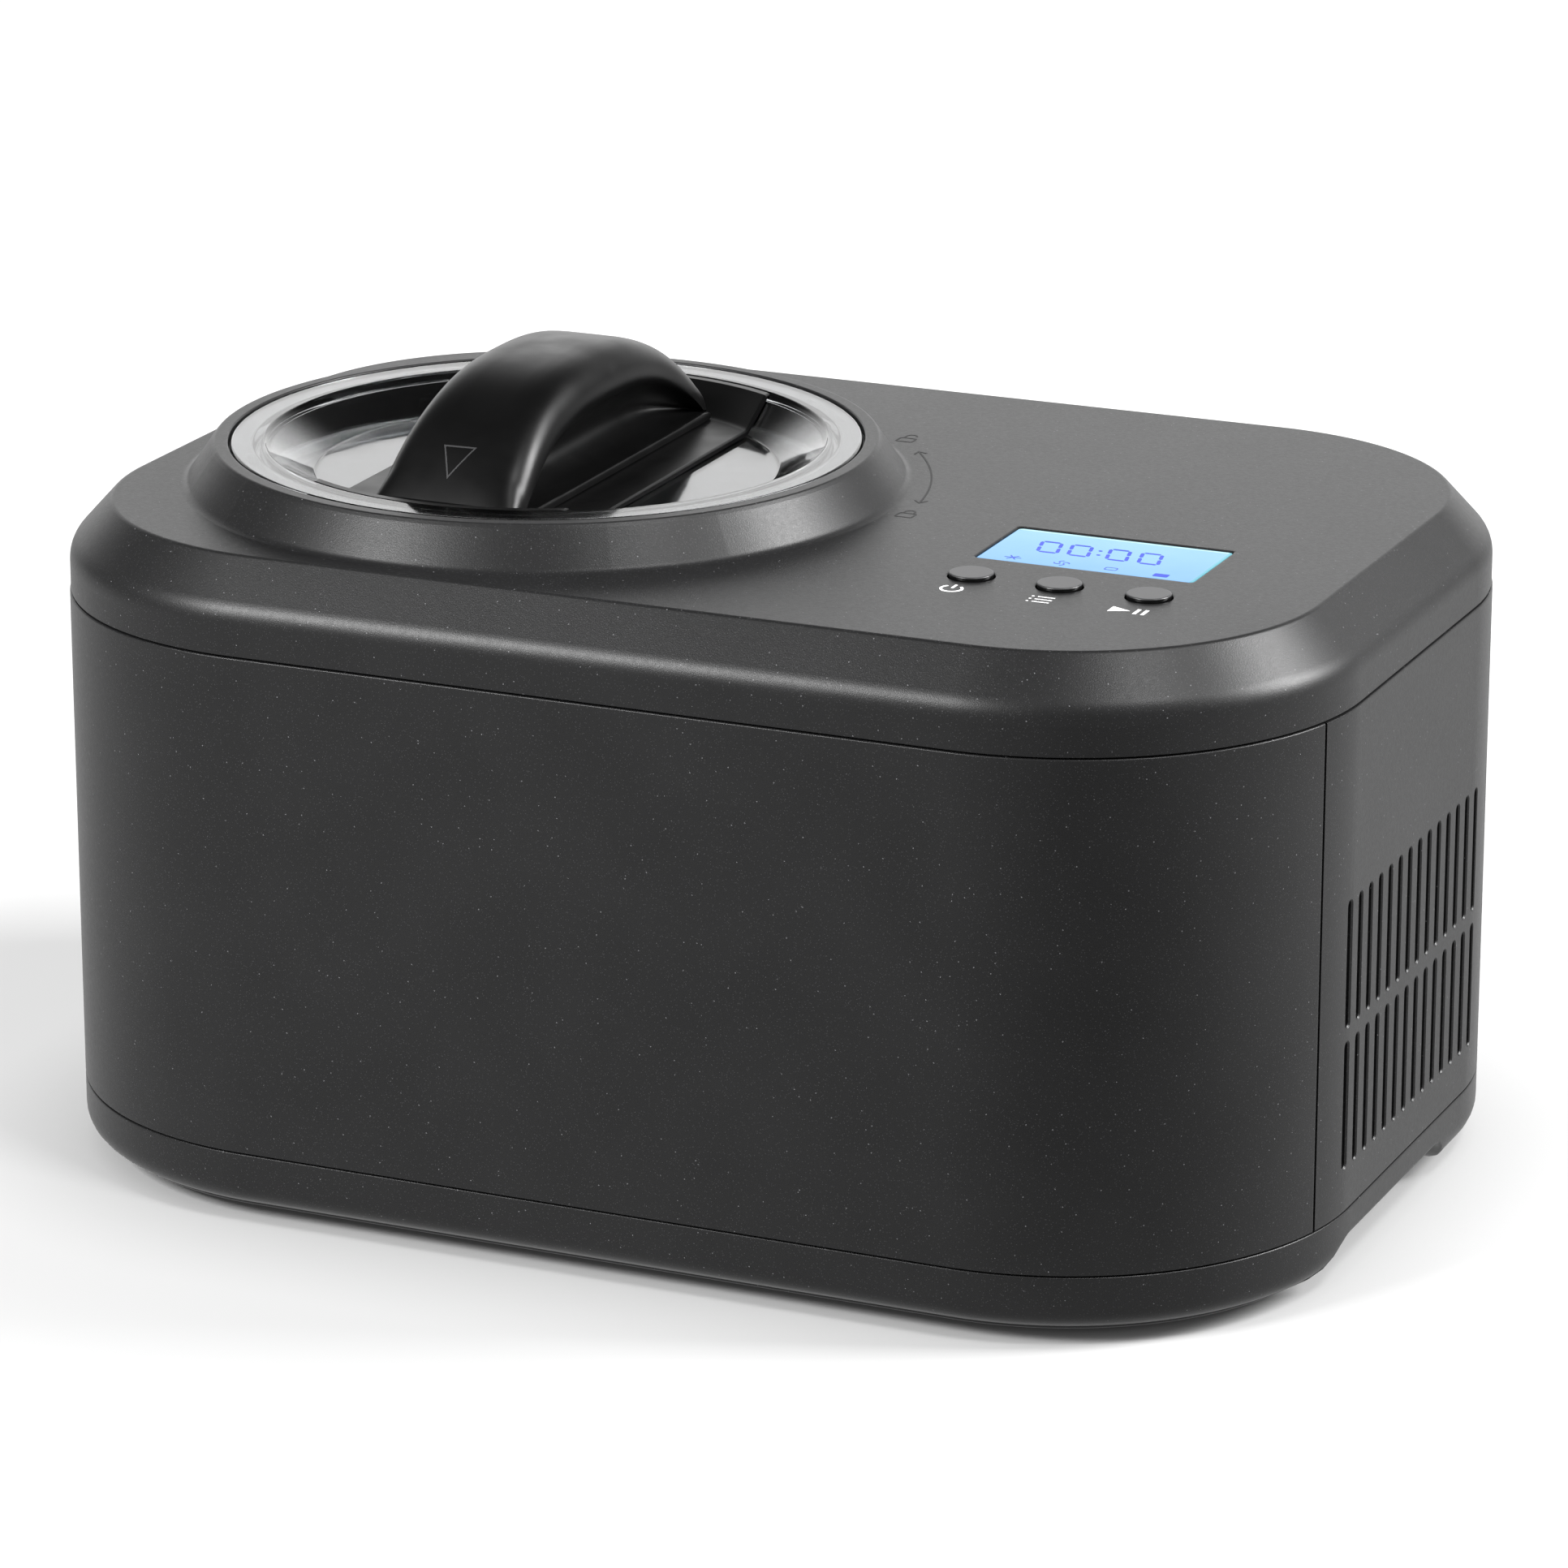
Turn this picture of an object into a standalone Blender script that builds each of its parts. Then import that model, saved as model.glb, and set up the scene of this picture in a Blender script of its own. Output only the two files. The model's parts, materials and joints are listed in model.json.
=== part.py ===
"""Countertop frozen-dessert maker: compressor cooled, with a twist lid, a lift-out bowl and a paddle."""

import math

import bmesh
import bpy
from mathutils import Matrix, Vector

MM = 0.001

# Body
WIDTH = 405.0
DEPTH = 285.0
CORNER_R = 90.0
CORNER_STEPS = 8
TRAY_TOP = 22.0
PANEL_Z = (22.4, 175.7)
COVER_BOTTOM = 176.1
DECK_Z = 203.2
CEILING_Z = 200.4
WALL = 2.4
SEAM_DEG = 14.2
SEAM_GAP_DEG = 0.22
FLOOR_Z = 7.0
POCKET_X = 172.0
POCKET_Y = 134.5

# Lid, collar, bowl
LID_X = -71.3
LID_Y = -14.3
COLLAR_TOP = 216.0
LID_STEPS = 36
LUG_COUNT = 4
LUG_AT_DEG = 45.0
DISH_FLOOR = 206.0
BAND_HALF = 41.0
HANDLE_HALF_LENGTH = 76.0
HANDLE_RISE = 34.9
HANDLE_HALF_WIDTH = 21.0
HANDLE_FOOT = 25.3
HANDLE_WEB = 11.0

# Vents: two rows of upright slots in each side
SLOT_COUNT = 14
SLOT_PITCH = 8.8
SLOT_WIDTH = 3.2
SLOT_ROWS = ((36.0, 75.0), (79.4, 118.0))

# Control panel
WINDOW_X = (81.0, 148.0)
WINDOW_Y = (-45.5, -10.5)
BUTTON_Y = -64.5
BUTTONS = (("power_button", 87.6), ("menu_button", 114.8), ("start_button", 142.1))
BUTTON_R = 6.5
BUTTON_TOP = 204.4

# Gear train
GEAR_MODULE = 1.6
WHEEL_TEETH = 30
PINION_TEETH = 10
GEAR_CENTRES = GEAR_MODULE * (WHEEL_TEETH + PINION_TEETH) / 2
IDLER_DEG = 100.0
IDLER_X = LID_X + GEAR_CENTRES * math.cos(math.radians(IDLER_DEG))
IDLER_Y = LID_Y + GEAR_CENTRES * math.sin(math.radians(IDLER_DEG))
ROTOR_X = IDLER_X + GEAR_CENTRES
ROTOR_Y = IDLER_Y
HOUSING_X = (-106.0, -31.4)
HOUSING_Y = (-43.6, 46.6)
POSTS = ((-98.0, -36.0), (-39.0, -36.0), (-98.0, 39.0), (-36.0, 42.0))

# Cooling side
COMPRESSOR = (84.0, 22.0)
PLATE_HALF = 48.0
FAN_Z = 78.0
FIN_COUNT = 12
FIN_PITCH = 9.6
COIL_TURNS = 3
COIL_R = 89.3

FOOT_X = 150.0
FOOT_Y = 95.0


# ---------------------------------------------------------------- helpers


def clear_scene():
    for item in list(bpy.data.objects):
        bpy.data.objects.remove(item, do_unlink=True)


def material(name, rgb, roughness, metallic=0.0, alpha=1.0):
    mat = bpy.data.materials.get(name)
    if mat:
        return mat
    mat = bpy.data.materials.new(name)
    mat.use_nodes = True
    shader = mat.node_tree.nodes["Principled BSDF"]
    shader.inputs["Base Color"].default_value = (*rgb, 1.0)
    shader.inputs["Roughness"].default_value = roughness
    shader.inputs["Metallic"].default_value = metallic
    shader.inputs["Alpha"].default_value = alpha
    return mat


def charcoal():
    return material("charcoal_plastic", (0.05, 0.052, 0.055), 0.5)


def black():
    return material("black_plastic", (0.012, 0.012, 0.014), 0.35)


def clear():
    return material("clear_plastic", (0.85, 0.88, 0.9), 0.05, 0.0, 0.35)


def rubber():
    return material("grey_rubber", (0.06, 0.06, 0.06), 0.8)


def steel():
    return material("bright_steel", (0.55, 0.56, 0.57), 0.3, 1.0)


def aluminium():
    return material("spun_aluminium", (0.75, 0.76, 0.77), 0.35, 1.0)


def copper():
    return material("copper_tube", (0.72, 0.36, 0.2), 0.3, 1.0)


def nylon():
    return material("white_nylon", (0.75, 0.74, 0.7), 0.5)


def board_green():
    return material("circuit_board", (0.02, 0.16, 0.06), 0.5)


def add_node(name, bm, mat, origin=(0.0, 0.0, 0.0), smooth=True, is_cutter=False):
    """Turns millimetre geometry into an object whose origin sits at the given point."""
    bmesh.ops.recalc_face_normals(bm, faces=bm.faces[:])
    bmesh.ops.translate(bm, verts=bm.verts[:], vec=-Vector(origin))
    bmesh.ops.scale(bm, verts=bm.verts[:], vec=(MM, MM, MM))
    mesh = bpy.data.meshes.new(name)
    bm.to_mesh(mesh)
    bm.free()
    if smooth:
        mesh.shade_smooth()
        mesh.set_sharp_from_angle(angle=math.radians(32))
    node = bpy.data.objects.new(name, mesh)
    node.location = Vector(origin) * MM
    bpy.context.scene.collection.objects.link(node)
    if is_cutter:
        node.hide_render = True
        node.display_type = "WIRE"
    else:
        mesh.materials.append(mat)
    return node


def combine(target, bm, operation, origin=(0.0, 0.0, 0.0)):
    """Joins geometry to an object, or cuts it away, with a live Boolean."""
    count = len(target.modifiers)
    tool = add_node(f"{target.name}_tool_{count}", bm, None, origin, is_cutter=True)
    modifier = target.modifiers.new(f"shape_{count}", "BOOLEAN")
    modifier.operation = operation
    modifier.solver = "EXACT"
    modifier.object = tool


def loft(sections, closed=False, bm=None):
    """Skins equal-count loops of points. Open lofts get a cap at each end."""
    bm = bm or bmesh.new()
    rings = [[bm.verts.new(point) for point in section] for section in sections]
    pairs = list(zip(rings, rings[1:]))
    if closed:
        pairs.append((rings[-1], rings[0]))
    else:
        bm.faces.new(rings[0][::-1])
        bm.faces.new(rings[-1])
    for lower, upper in pairs:
        count = len(lower)
        for i in range(count):
            j = (i + 1) % count
            bm.faces.new((lower[i], lower[j], upper[j], upper[i]))
    return bm


def prism(outline, low, high, bm=None):
    bottom = [(x, y, low) for x, y in outline]
    top = [(x, y, high) for x, y in outline]
    return loft([bottom, top], bm=bm)


def box(xs, ys, zs, bm=None):
    outline = [(xs[0], ys[0]), (xs[1], ys[0]), (xs[1], ys[1]), (xs[0], ys[1])]
    return prism(outline, zs[0], zs[1], bm)


def turned(profile, steps, x=0.0, y=0.0, bm=None):
    """Turns a closed (radius, height) outline about a vertical axis."""
    bm = bm or bmesh.new()
    rings = []
    for radius, height in profile:
        if radius == 0.0:
            rings.append([bm.verts.new((x, y, height))])
            continue
        ring = []
        for k in range(steps):
            angle = 2 * math.pi * k / steps
            ring.append(bm.verts.new((x + radius * math.cos(angle), y + radius * math.sin(angle), height)))
        rings.append(ring)
    for near, far in zip(rings, rings[1:] + rings[:1]):
        if len(near) == 1 and len(far) == 1:
            continue
        for k in range(steps):
            j = (k + 1) % steps
            if len(near) == 1:
                bm.faces.new((near[0], far[j], far[k]))
            elif len(far) == 1:
                bm.faces.new((near[k], near[j], far[0]))
            else:
                bm.faces.new((near[k], near[j], far[j], far[k]))
    return bm


def cylinder(x, y, radius, low, high, steps=20, bm=None):
    return turned([(0.0, low), (radius, low), (radius, high), (0.0, high)], steps, x, y, bm)


def lay_along_x(bm, x, y, z):
    """Tips geometry built about the world Z axis so that its axis runs along +X through a point."""
    tip = Matrix.Translation((x, y, z)) @ Matrix.Rotation(math.radians(90), 4, "Y")
    bmesh.ops.transform(bm, matrix=tip, verts=bm.verts[:])
    return bm


def arc(cx, cy, radius, start, stop, steps):
    points = []
    for k in range(steps + 1):
        angle = math.radians(start + (stop - start) * k / steps)
        points.append((cx + radius * math.cos(angle), cy + radius * math.sin(angle)))
    return points


def rounded_rect(half_x, half_y, radius, steps=CORNER_STEPS):
    points = []
    corners = ((1, -1, -90.0), (1, 1, 0.0), (-1, 1, 90.0), (-1, -1, 180.0))
    for sx, sy, start in corners:
        points += arc(sx * (half_x - radius), sy * (half_y - radius), radius, start, start + 90.0, steps)
    return points


def body_loop(inset, height):
    outline = rounded_rect(WIDTH / 2 - inset, DEPTH / 2 - inset, CORNER_R - inset)
    return [(x, y, height) for x, y in outline]


def pocket_loop(half_x, half_y, radius, height):
    return [(x, y, height) for x, y in rounded_rect(half_x, half_y, radius)]


def sector(inner, outer, middle, width, x, y, steps=3):
    start = middle - width / 2
    stop = middle + width / 2
    return arc(x, y, outer, start, stop, steps) + arc(x, y, inner, stop, start, steps)


def smooth_route(points, per_leg=4):
    """Catmull-Rom curve through the route's points."""
    ends = [points[0]] + list(points) + [points[-1]]
    vectors = [Vector(point) for point in ends]
    route = []
    for a, b, c, d in zip(vectors, vectors[1:], vectors[2:], vectors[3:]):
        for k in range(per_leg):
            t = k / per_leg
            route.append(
                0.5 * (2 * b + (c - a) * t + (2 * a - 5 * b + 4 * c - d) * t * t
                       + (3 * b - a - 3 * c + d) * t * t * t)
            )
    route.append(vectors[-2])
    return route


def tube(name, route, radius, mat, roundness=1):
    curve = bpy.data.curves.new(name, "CURVE")
    curve.dimensions = "3D"
    curve.bevel_depth = radius * MM
    curve.bevel_resolution = roundness
    curve.use_fill_caps = True
    spline = curve.splines.new("POLY")
    spline.points.add(len(route) - 1)
    for slot, point in zip(spline.points, route):
        slot.co = (*(Vector(point) * MM), 1.0)
    node = bpy.data.objects.new(name, curve)
    curve.materials.append(mat)
    bpy.context.scene.collection.objects.link(node)
    return node


# ---------------------------------------------------------------- housing


def grip_outline():
    """Side view of the raised lower edge: an S-curve up, a flat and an S-curve down."""
    high = 13.5
    points = [(-84.0, -3.0), (-79.0, 3.0)]
    for k in range(1, 6):
        t = k / 5
        points.append((-79.0 + 29.0 * t, 3.0 + (high - 3.0) * (1 - math.cos(math.pi * t)) / 2))
    for k in range(6):
        t = k / 5
        points.append((29.0 + 16.0 * t, high - (high - 3.0) * (1 - math.cos(math.pi * t)) / 2))
    points.append((48.0, -3.0))
    return points


def make_base_tray():
    outside = ((9.0, 3.5), (4.6, 5.0), (1.8, 8.4), (0.4, 13.0), (0.0, 17.0), (0.0, TRAY_TOP))
    sections = [body_loop(inset, z) for inset, z in outside]
    sections += [body_loop(4.3, TRAY_TOP), body_loop(4.3, 26.8), body_loop(5.9, 26.8), body_loop(5.9, TRAY_TOP)]
    sections.append(pocket_loop(POCKET_X, POCKET_Y, 60.0, TRAY_TOP - 1.0))
    sections.append(pocket_loop(POCKET_X, POCKET_Y, 60.0, FLOOR_Z))
    tray = add_node("base_tray", loft(sections), charcoal())
    grips = bmesh.new()
    for side in (1, -1):
        near = [(side * 176.0, y, z) for y, z in grip_outline()]
        far = [(side * 210.0, y, z) for y, z in grip_outline()]
        loft([near, far], bm=grips)
    combine(tray, grips, "DIFFERENCE")
    posts = bmesh.new()
    for x, y in POSTS:
        cylinder(x, y, 4.0, FLOOR_Z - 1.5, 35.2, 10, posts)
    combine(tray, posts, "UNION")
    holes = bmesh.new()
    for sx in (1, -1):
        for sy in (1, -1):
            cylinder(sx * FOOT_X, sy * FOOT_Y, 3.4, -2.0, 12.0, 10, holes)
    combine(tray, holes, "DIFFERENCE")


def make_feet():
    for index, (sx, sy) in enumerate(((-1, -1), (1, -1), (-1, 1), (1, 1)), 1):
        profile = ((0.0, 0.0), (9.0, 0.0), (9.6, 0.8), (9.0, 3.2), (3.0, 3.2), (3.0, 8.4), (0.0, 8.4))
        x, y = sx * FOOT_X, sy * FOOT_Y
        add_node(f"foot_{index}", turned(profile, 12, x, y), rubber(), (x, y, 0.0))


def wrap_outline(front, inset):
    """Half of the body's outline, from the right seam round the front or rear to the left seam."""
    sign = -1 if front else 1
    radius = CORNER_R - inset
    cx = WIDTH / 2 - CORNER_R
    cy = sign * (DEPTH / 2 - CORNER_R)
    start = sign * (SEAM_DEG + SEAM_GAP_DEG)
    right = arc(cx, cy, radius, start, sign * 90.0, 8)
    left = [(-x, y) for x, y in reversed(right)]
    return right + left


def make_wraps():
    for name, front in (("front_wrap", True), ("rear_panel", False)):
        outline = wrap_outline(front, 0.0) + wrap_outline(front, WALL)[::-1]
        node = add_node(name, prism(outline, *PANEL_Z), charcoal())
        if not front:
            combine(node, box((66.1, 93.9), (130.0, 150.0), (34.6, 55.4)), "DIFFERENCE")


def side_run(inset, from_deg, to_deg):
    """Right-hand outline between an angle on the front corner and one on the rear corner."""
    cx = WIDTH / 2 - CORNER_R
    cy = DEPTH / 2 - CORNER_R
    radius = CORNER_R - inset
    return arc(cx, -cy, radius, from_deg, 0.0, 3) + arc(cx, cy, radius, 0.0, to_deg, 3)


def corner_run(inset, from_deg, to_deg, rear):
    cx = WIDTH / 2 - CORNER_R
    cy = DEPTH / 2 - CORNER_R
    return arc(cx, cy if rear else -cy, CORNER_R - inset, from_deg, to_deg, 1)


def side_outline():
    """Panel with a stepped tongue that runs behind the front and rear panels."""
    seam = SEAM_DEG - SEAM_GAP_DEG
    outline = side_run(0.0, -seam, seam)
    outline += corner_run(WALL + 0.3, seam, 22.0, True)
    outline += corner_run(WALL + 1.5, 22.0, 12.0, True)
    outline += side_run(WALL, -12.0, 12.0)[::-1]
    outline += corner_run(WALL + 1.5, -12.0, -22.0, False)
    outline += corner_run(WALL + 0.3, -22.0, -seam, False)
    return outline


def slot_outline(y, low, high):
    half = SLOT_WIDTH / 2
    points = []
    for k in range(4):
        angle = math.radians(60.0 * k)
        points.append((y + half * math.cos(angle), high - half + half * math.sin(angle)))
    for k in range(4):
        angle = math.radians(180.0 + 60.0 * k)
        points.append((y + half * math.cos(angle), low + half + half * math.sin(angle)))
    return points


def make_side_panels():
    for name, side in (("right_vent_panel", 1), ("left_vent_panel", -1)):
        outline = [(side * x, y) for x, y in side_outline()]
        panel = add_node(name, prism(outline, *PANEL_Z), charcoal())
        slots = bmesh.new()
        for low, high in SLOT_ROWS:
            for k in range(SLOT_COUNT):
                y = (k - (SLOT_COUNT - 1) / 2) * SLOT_PITCH
                near = [(side * 192.0, u, z) for u, z in slot_outline(y, low, high)]
                far = [(side * 208.0, u, z) for u, z in slot_outline(y, low, high)]
                loft([near, far], bm=slots)
        combine(panel, slots, "DIFFERENCE")


def collar_profile():
    return (
        (85.8, 193.5), (97.0, 193.5), (105.0, 198.0), (110.4, 201.8), (111.3, 203.0), (109.3, 204.0),
        (107.7, 205.4), (100.9, 215.4), (100.2, 216.0), (96.6, 216.0), (96.1, 215.5), (96.1, 213.2),
        (89.4, 213.2), (89.4, 206.0), (92.6, 206.0), (92.6, 196.9), (85.8, 196.9),
    )


def make_top_cover():
    rings = (
        (14.8, CEILING_Z), (3.6, 188.8), (3.6, 180.2), (5.9, 179.0), (5.9, 170.3), (4.3, 170.3),
        (4.3, COVER_BOTTOM), (0.3, COVER_BOTTOM), (0.3, 185.1), (1.05, 188.9), (3.2, 192.3),
        (12.6, 202.6), (14.0, DECK_Z),
    )
    cover = add_node("top_cover", loft([body_loop(inset, z) for inset, z in rings]), charcoal())
    combine(cover, cylinder(LID_X, LID_Y, 100.0, 195.0, 210.0, LID_STEPS), "DIFFERENCE")
    combine(cover, turned(collar_profile(), LID_STEPS, LID_X, LID_Y), "UNION")
    openings = box((WINDOW_X[0] - 0.3, WINDOW_X[1] + 0.3), (WINDOW_Y[0] - 0.3, WINDOW_Y[1] + 0.3), (197.0, 207.0))
    for _, x in BUTTONS:
        cylinder(x, BUTTON_Y, BUTTON_R + 0.5, 196.0, 207.0, 20, openings)
    for k in range(LUG_COUNT):
        notch = sector(86.0, 92.1, LUG_AT_DEG + 90.0 * k, 19.0, LID_X, LID_Y)
        prism(notch, 204.0, 214.4, openings)
    combine(cover, openings, "DIFFERENCE")


def make_control_panel():
    window = rounded_rect(33.5, 17.5, 1.2, 2)
    middle = (sum(WINDOW_X) / 2, sum(WINDOW_Y) / 2)
    outline = [(x + middle[0], y + middle[1]) for x, y in window]
    glass = material("display_glass", (0.02, 0.03, 0.06), 0.08)
    add_node("display_window", prism(outline, 201.0, 203.0), glass)
    steps = ((37.0, 21.0, 193.0), (37.0, 21.0, 200.1), (32.0, 16.0, 200.1), (32.0, 16.0, 200.7))
    sections = []
    for half_x, half_y, z in steps:
        outline = rounded_rect(half_x, half_y, 1.0, 1)
        sections.append([(x + middle[0], y + middle[1], z) for x, y in outline])
    add_node("lcd_module", loft(sections), material("lcd_frame", (0.3, 0.5, 0.7), 0.3), smooth=False)
    cap = (
        (0.0, BUTTON_TOP), (BUTTON_R - 0.5, BUTTON_TOP), (BUTTON_R, BUTTON_TOP - 0.5), (BUTTON_R, 200.1),
        (8.4, 200.1), (8.4, 198.5), (2.2, 198.5), (2.2, 197.0), (0.0, 197.0),
    )
    for name, x in BUTTONS:
        add_node(name, turned(cap, 16, x, BUTTON_Y), material("button_grey", (0.2, 0.2, 0.21), 0.45),
                 (x, BUTTON_Y, BUTTON_TOP))
    board = add_node("button_board", box((78.0, 155.0), (-79.0, -57.0), (190.0, 191.6)), board_green(), smooth=False)
    switches = bmesh.new()
    for _, x in BUTTONS:
        box((x - 3.0, x + 3.0), (BUTTON_Y - 3.0, BUTTON_Y + 3.0), (190.8, 195.4), switches)
    combine(board, switches, "UNION")


def make_inlet():
    body = add_node("mains_inlet", box((66.5, 93.5), (121.0, 142.2), (35.0, 55.0)), black(), smooth=False)
    combine(body, box((62.0, 98.0), (136.0, 139.7), (31.0, 59.0)), "UNION")
    combine(body, box((69.0, 91.0), (125.0, 150.0), (37.5, 52.5)), "DIFFERENCE")
    pins = bmesh.new()
    for x, z in ((74.0, 43.0), (80.0, 47.0), (86.0, 43.0)):
        box((x - 1.0, x + 1.0), (123.0, 136.0), (z - 2.0, z + 2.0), pins)
    combine(body, pins, "UNION")


# ---------------------------------------------------------------- lid


def make_lid_dish():
    profile = (
        (0.0, DISH_FLOOR), (69.5, DISH_FLOOR), (71.0, DISH_FLOOR + 0.5), (84.2, 214.9), (85.4, 215.7),
        (94.9, 215.7), (95.5, 215.1), (95.5, 213.5), (88.4, 213.5), (88.4, 201.2), (86.2, 201.2),
        (86.2, 212.0), (84.4, 212.3), (71.4, DISH_FLOOR - 2.0), (0.0, DISH_FLOOR - 2.0),
    )
    dish = add_node("lid_dish", turned(profile, LID_STEPS, LID_X, LID_Y), clear(), (LID_X, LID_Y, DISH_FLOOR))
    lugs = bmesh.new()
    for k in range(LUG_COUNT):
        prism(sector(87.2, 91.6, LUG_AT_DEG + 90.0 * k, 14.0, LID_X, LID_Y), 202.0, 205.6, lugs)
    combine(dish, lugs, "UNION")
    holes = bmesh.new()
    for y in (-38.0, 38.0):
        cylinder(LID_X, LID_Y + y, 2.4, 200.0, 210.0, 12, holes)
    combine(dish, holes, "DIFFERENCE")


def make_lid_band():
    low = DISH_FLOOR + 0.3
    profile = (
        (0.0, low + 1.6), (68.6, low + 1.6), (70.3, low + 2.2), (82.0, 215.6), (84.7, 215.6),
        (70.7, low + 0.5), (69.2, low), (0.0, low),
    )
    band = add_node("lid_band", turned(profile, LID_STEPS, LID_X, LID_Y), black(), (LID_X, LID_Y, DISH_FLOOR))
    strip = box((LID_X - BAND_HALF, LID_X + BAND_HALF), (LID_Y - 110.0, LID_Y + 110.0), (200.0, 230.0))
    combine(band, strip, "INTERSECT")
    holes = bmesh.new()
    for y in (-38.0, 38.0):
        cylinder(LID_X, LID_Y + y, 2.4, 200.0, 212.0, 12, holes)
    combine(band, holes, "DIFFERENCE")


def handle_section(u):
    """Cross-section of the handle at a distance u along it: crowned top, scooped sides, flared foot."""
    foot = DISH_FLOOR + 1.0
    arch = 1.5 + HANDLE_RISE * (1 - abs(u / HANDLE_HALF_LENGTH) ** 2.7)
    rise = max(arch, 4.0)
    k = min(1.0, (rise - 2.6) / 31.0)
    top = foot + rise
    wide = HANDLE_HALF_WIDTH + 2.4 * max(0.0, min(1.0, (abs(u) - 30.0) / 40.0))
    deep = (HANDLE_HALF_WIDTH - HANDLE_WEB) * k
    half = (
        (HANDLE_FOOT, foot),
        (HANDLE_FOOT, foot + 2.2),
        (HANDLE_FOOT - 0.8, foot + 2.6),
        (wide - 0.6 * deep, foot + 2.6 + 1.6 * k),
        (wide - 0.9 * deep, foot + 2.6 + 4.5 * k),
        (wide - deep, foot + 2.6 + 8.0 * k),
        (wide - 0.7 * deep, top - 19.0 * k),
        (wide - 0.1 * deep, top - 13.6 * k),
        (wide, top - 11.0 * k),
        (wide - 1.4, top - 6.4 * k),
        (wide - 4.0, top - 3.1 * k),
        (wide - 11.0, top),
    )
    right = [(LID_X + v, LID_Y + u, z) for v, z in half]
    left = [(LID_X - v, LID_Y + u, z) for v, z in reversed(half)]
    return right + left


def make_lid_handle():
    reach = 0.985 * HANDLE_HALF_LENGTH
    stations = 18
    sections = []
    for k in range(stations + 1):
        sections.append(handle_section(-reach * math.cos(math.pi * k / stations)))
    handle = add_node("lid_handle", loft(sections), black(), (LID_X, LID_Y, DISH_FLOOR))
    seat = DISH_FLOOR + 2.2
    room = ((0.0, seat), (68.4, seat), (70.0, seat + 0.7), (92.0, seat + 17.0), (92.0, 262.0), (0.0, 262.0))
    combine(handle, turned(room, LID_STEPS, LID_X, LID_Y), "INTERSECT")
    combine(handle, prism(sector(70.2, 92.0, 90.0, 120.0, LID_X, LID_Y, 24), 200.0, 262.0), "DIFFERENCE")
    holes = bmesh.new()
    for y in (-38.0, 38.0):
        cylinder(LID_X, LID_Y + y, 1.9, 205.0, 217.0, 12, holes)
    combine(handle, holes, "DIFFERENCE")


def make_lid_screws():
    for index, y in ((1, -38.0), (2, 38.0)):
        profile = ((0.0, 202.0), (3.6, 202.0), (3.6, 203.7), (1.5, 203.7), (1.5, 216.0), (0.0, 216.0))
        add_node(f"lid_screw_{index}", turned(profile, 12, LID_X, LID_Y + y), steel(), (LID_X, LID_Y, 202.0))


def make_lid_seal():
    profile = ((84.9, 197.2), (88.2, 197.2), (88.2, 199.6), (87.2, 200.9), (84.9, 200.9))
    seal = material("silicone", (0.7, 0.7, 0.68), 0.6)
    add_node("lid_seal", turned(profile, LID_STEPS, LID_X, LID_Y), seal, (LID_X, LID_Y, 197.2))


# ---------------------------------------------------------------- bowl and well


def make_bowl():
    profile = (
        (9.2, 66.4), (78.5, 66.4), (82.2, 70.2), (82.2, 196.0), (84.2, 196.0), (84.2, 198.0), (80.9, 198.0),
        (80.6, 197.4), (80.6, 70.9), (77.8, 68.1), (11.0, 68.1), (11.0, 106.0), (9.2, 106.0),
    )
    add_node("mixing_bowl", turned(profile, 32, LID_X, LID_Y), aluminium(), (LID_X, LID_Y, 66.4))


def make_paddle():
    hub = ((0.0, 70.4), (15.5, 70.4), (15.5, 122.0), (10.0, 130.0), (7.0, 176.0), (5.0, 178.0), (0.0, 178.0))
    paddle = add_node("paddle", turned(hub, 16, LID_X, LID_Y), nylon(), (LID_X, LID_Y, 70.4))
    frame = bmesh.new()
    box((LID_X - 79.0, LID_X + 79.0), (LID_Y - 5.0, LID_Y + 5.0), (72.0, 77.0), frame)
    combine(paddle, frame, "UNION")
    combine(paddle, box((LID_X - 79.0, LID_X + 79.0), (LID_Y - 4.0, LID_Y + 4.0), (160.0, 165.0)), "UNION")
    blades = bmesh.new()
    for side in (1, -1):
        edge = sorted((LID_X + side * 75.4, LID_X + side * 78.8))
        box(edge, (LID_Y - 7.0, LID_Y + 7.0), (71.4, 166.0), blades)
        turn = Matrix.Rotation(math.radians(35.0), 3, "Z")
        corners = [turn @ Vector((sx * 11.0, sy * 1.4, 0.0)) for sx, sy in ((-1, -1), (1, -1), (1, 1), (-1, 1))]
        outline = [(LID_X + side * 44.0 + c.x, LID_Y + c.y) for c in corners]
        prism(outline, 73.0, 164.0, blades)
    combine(paddle, blades, "UNION")
    combine(paddle, cylinder(LID_X, LID_Y, 11.7, 60.0, 107.6, 16), "DIFFERENCE")
    socket = box((LID_X - 4.9, LID_X + 4.9), (LID_Y - 4.9, LID_Y + 4.9), (100.0, 117.5))
    combine(paddle, socket, "DIFFERENCE")


def make_cooling_well():
    profile = (
        (12.0, 64.0), (80.0, 64.0), (84.6, 68.6), (84.6, 195.6), (83.2, 195.6), (83.2, 69.2), (79.4, 65.5),
        (12.0, 65.5),
    )
    add_node("cooling_well", turned(profile, 28, LID_X, LID_Y), aluminium())
    profile = ((6.2, 62.2), (11.6, 62.2), (11.6, 65.8), (6.2, 65.8))
    add_node("shaft_seal", turned(profile, 16, LID_X, LID_Y), rubber())


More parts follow.
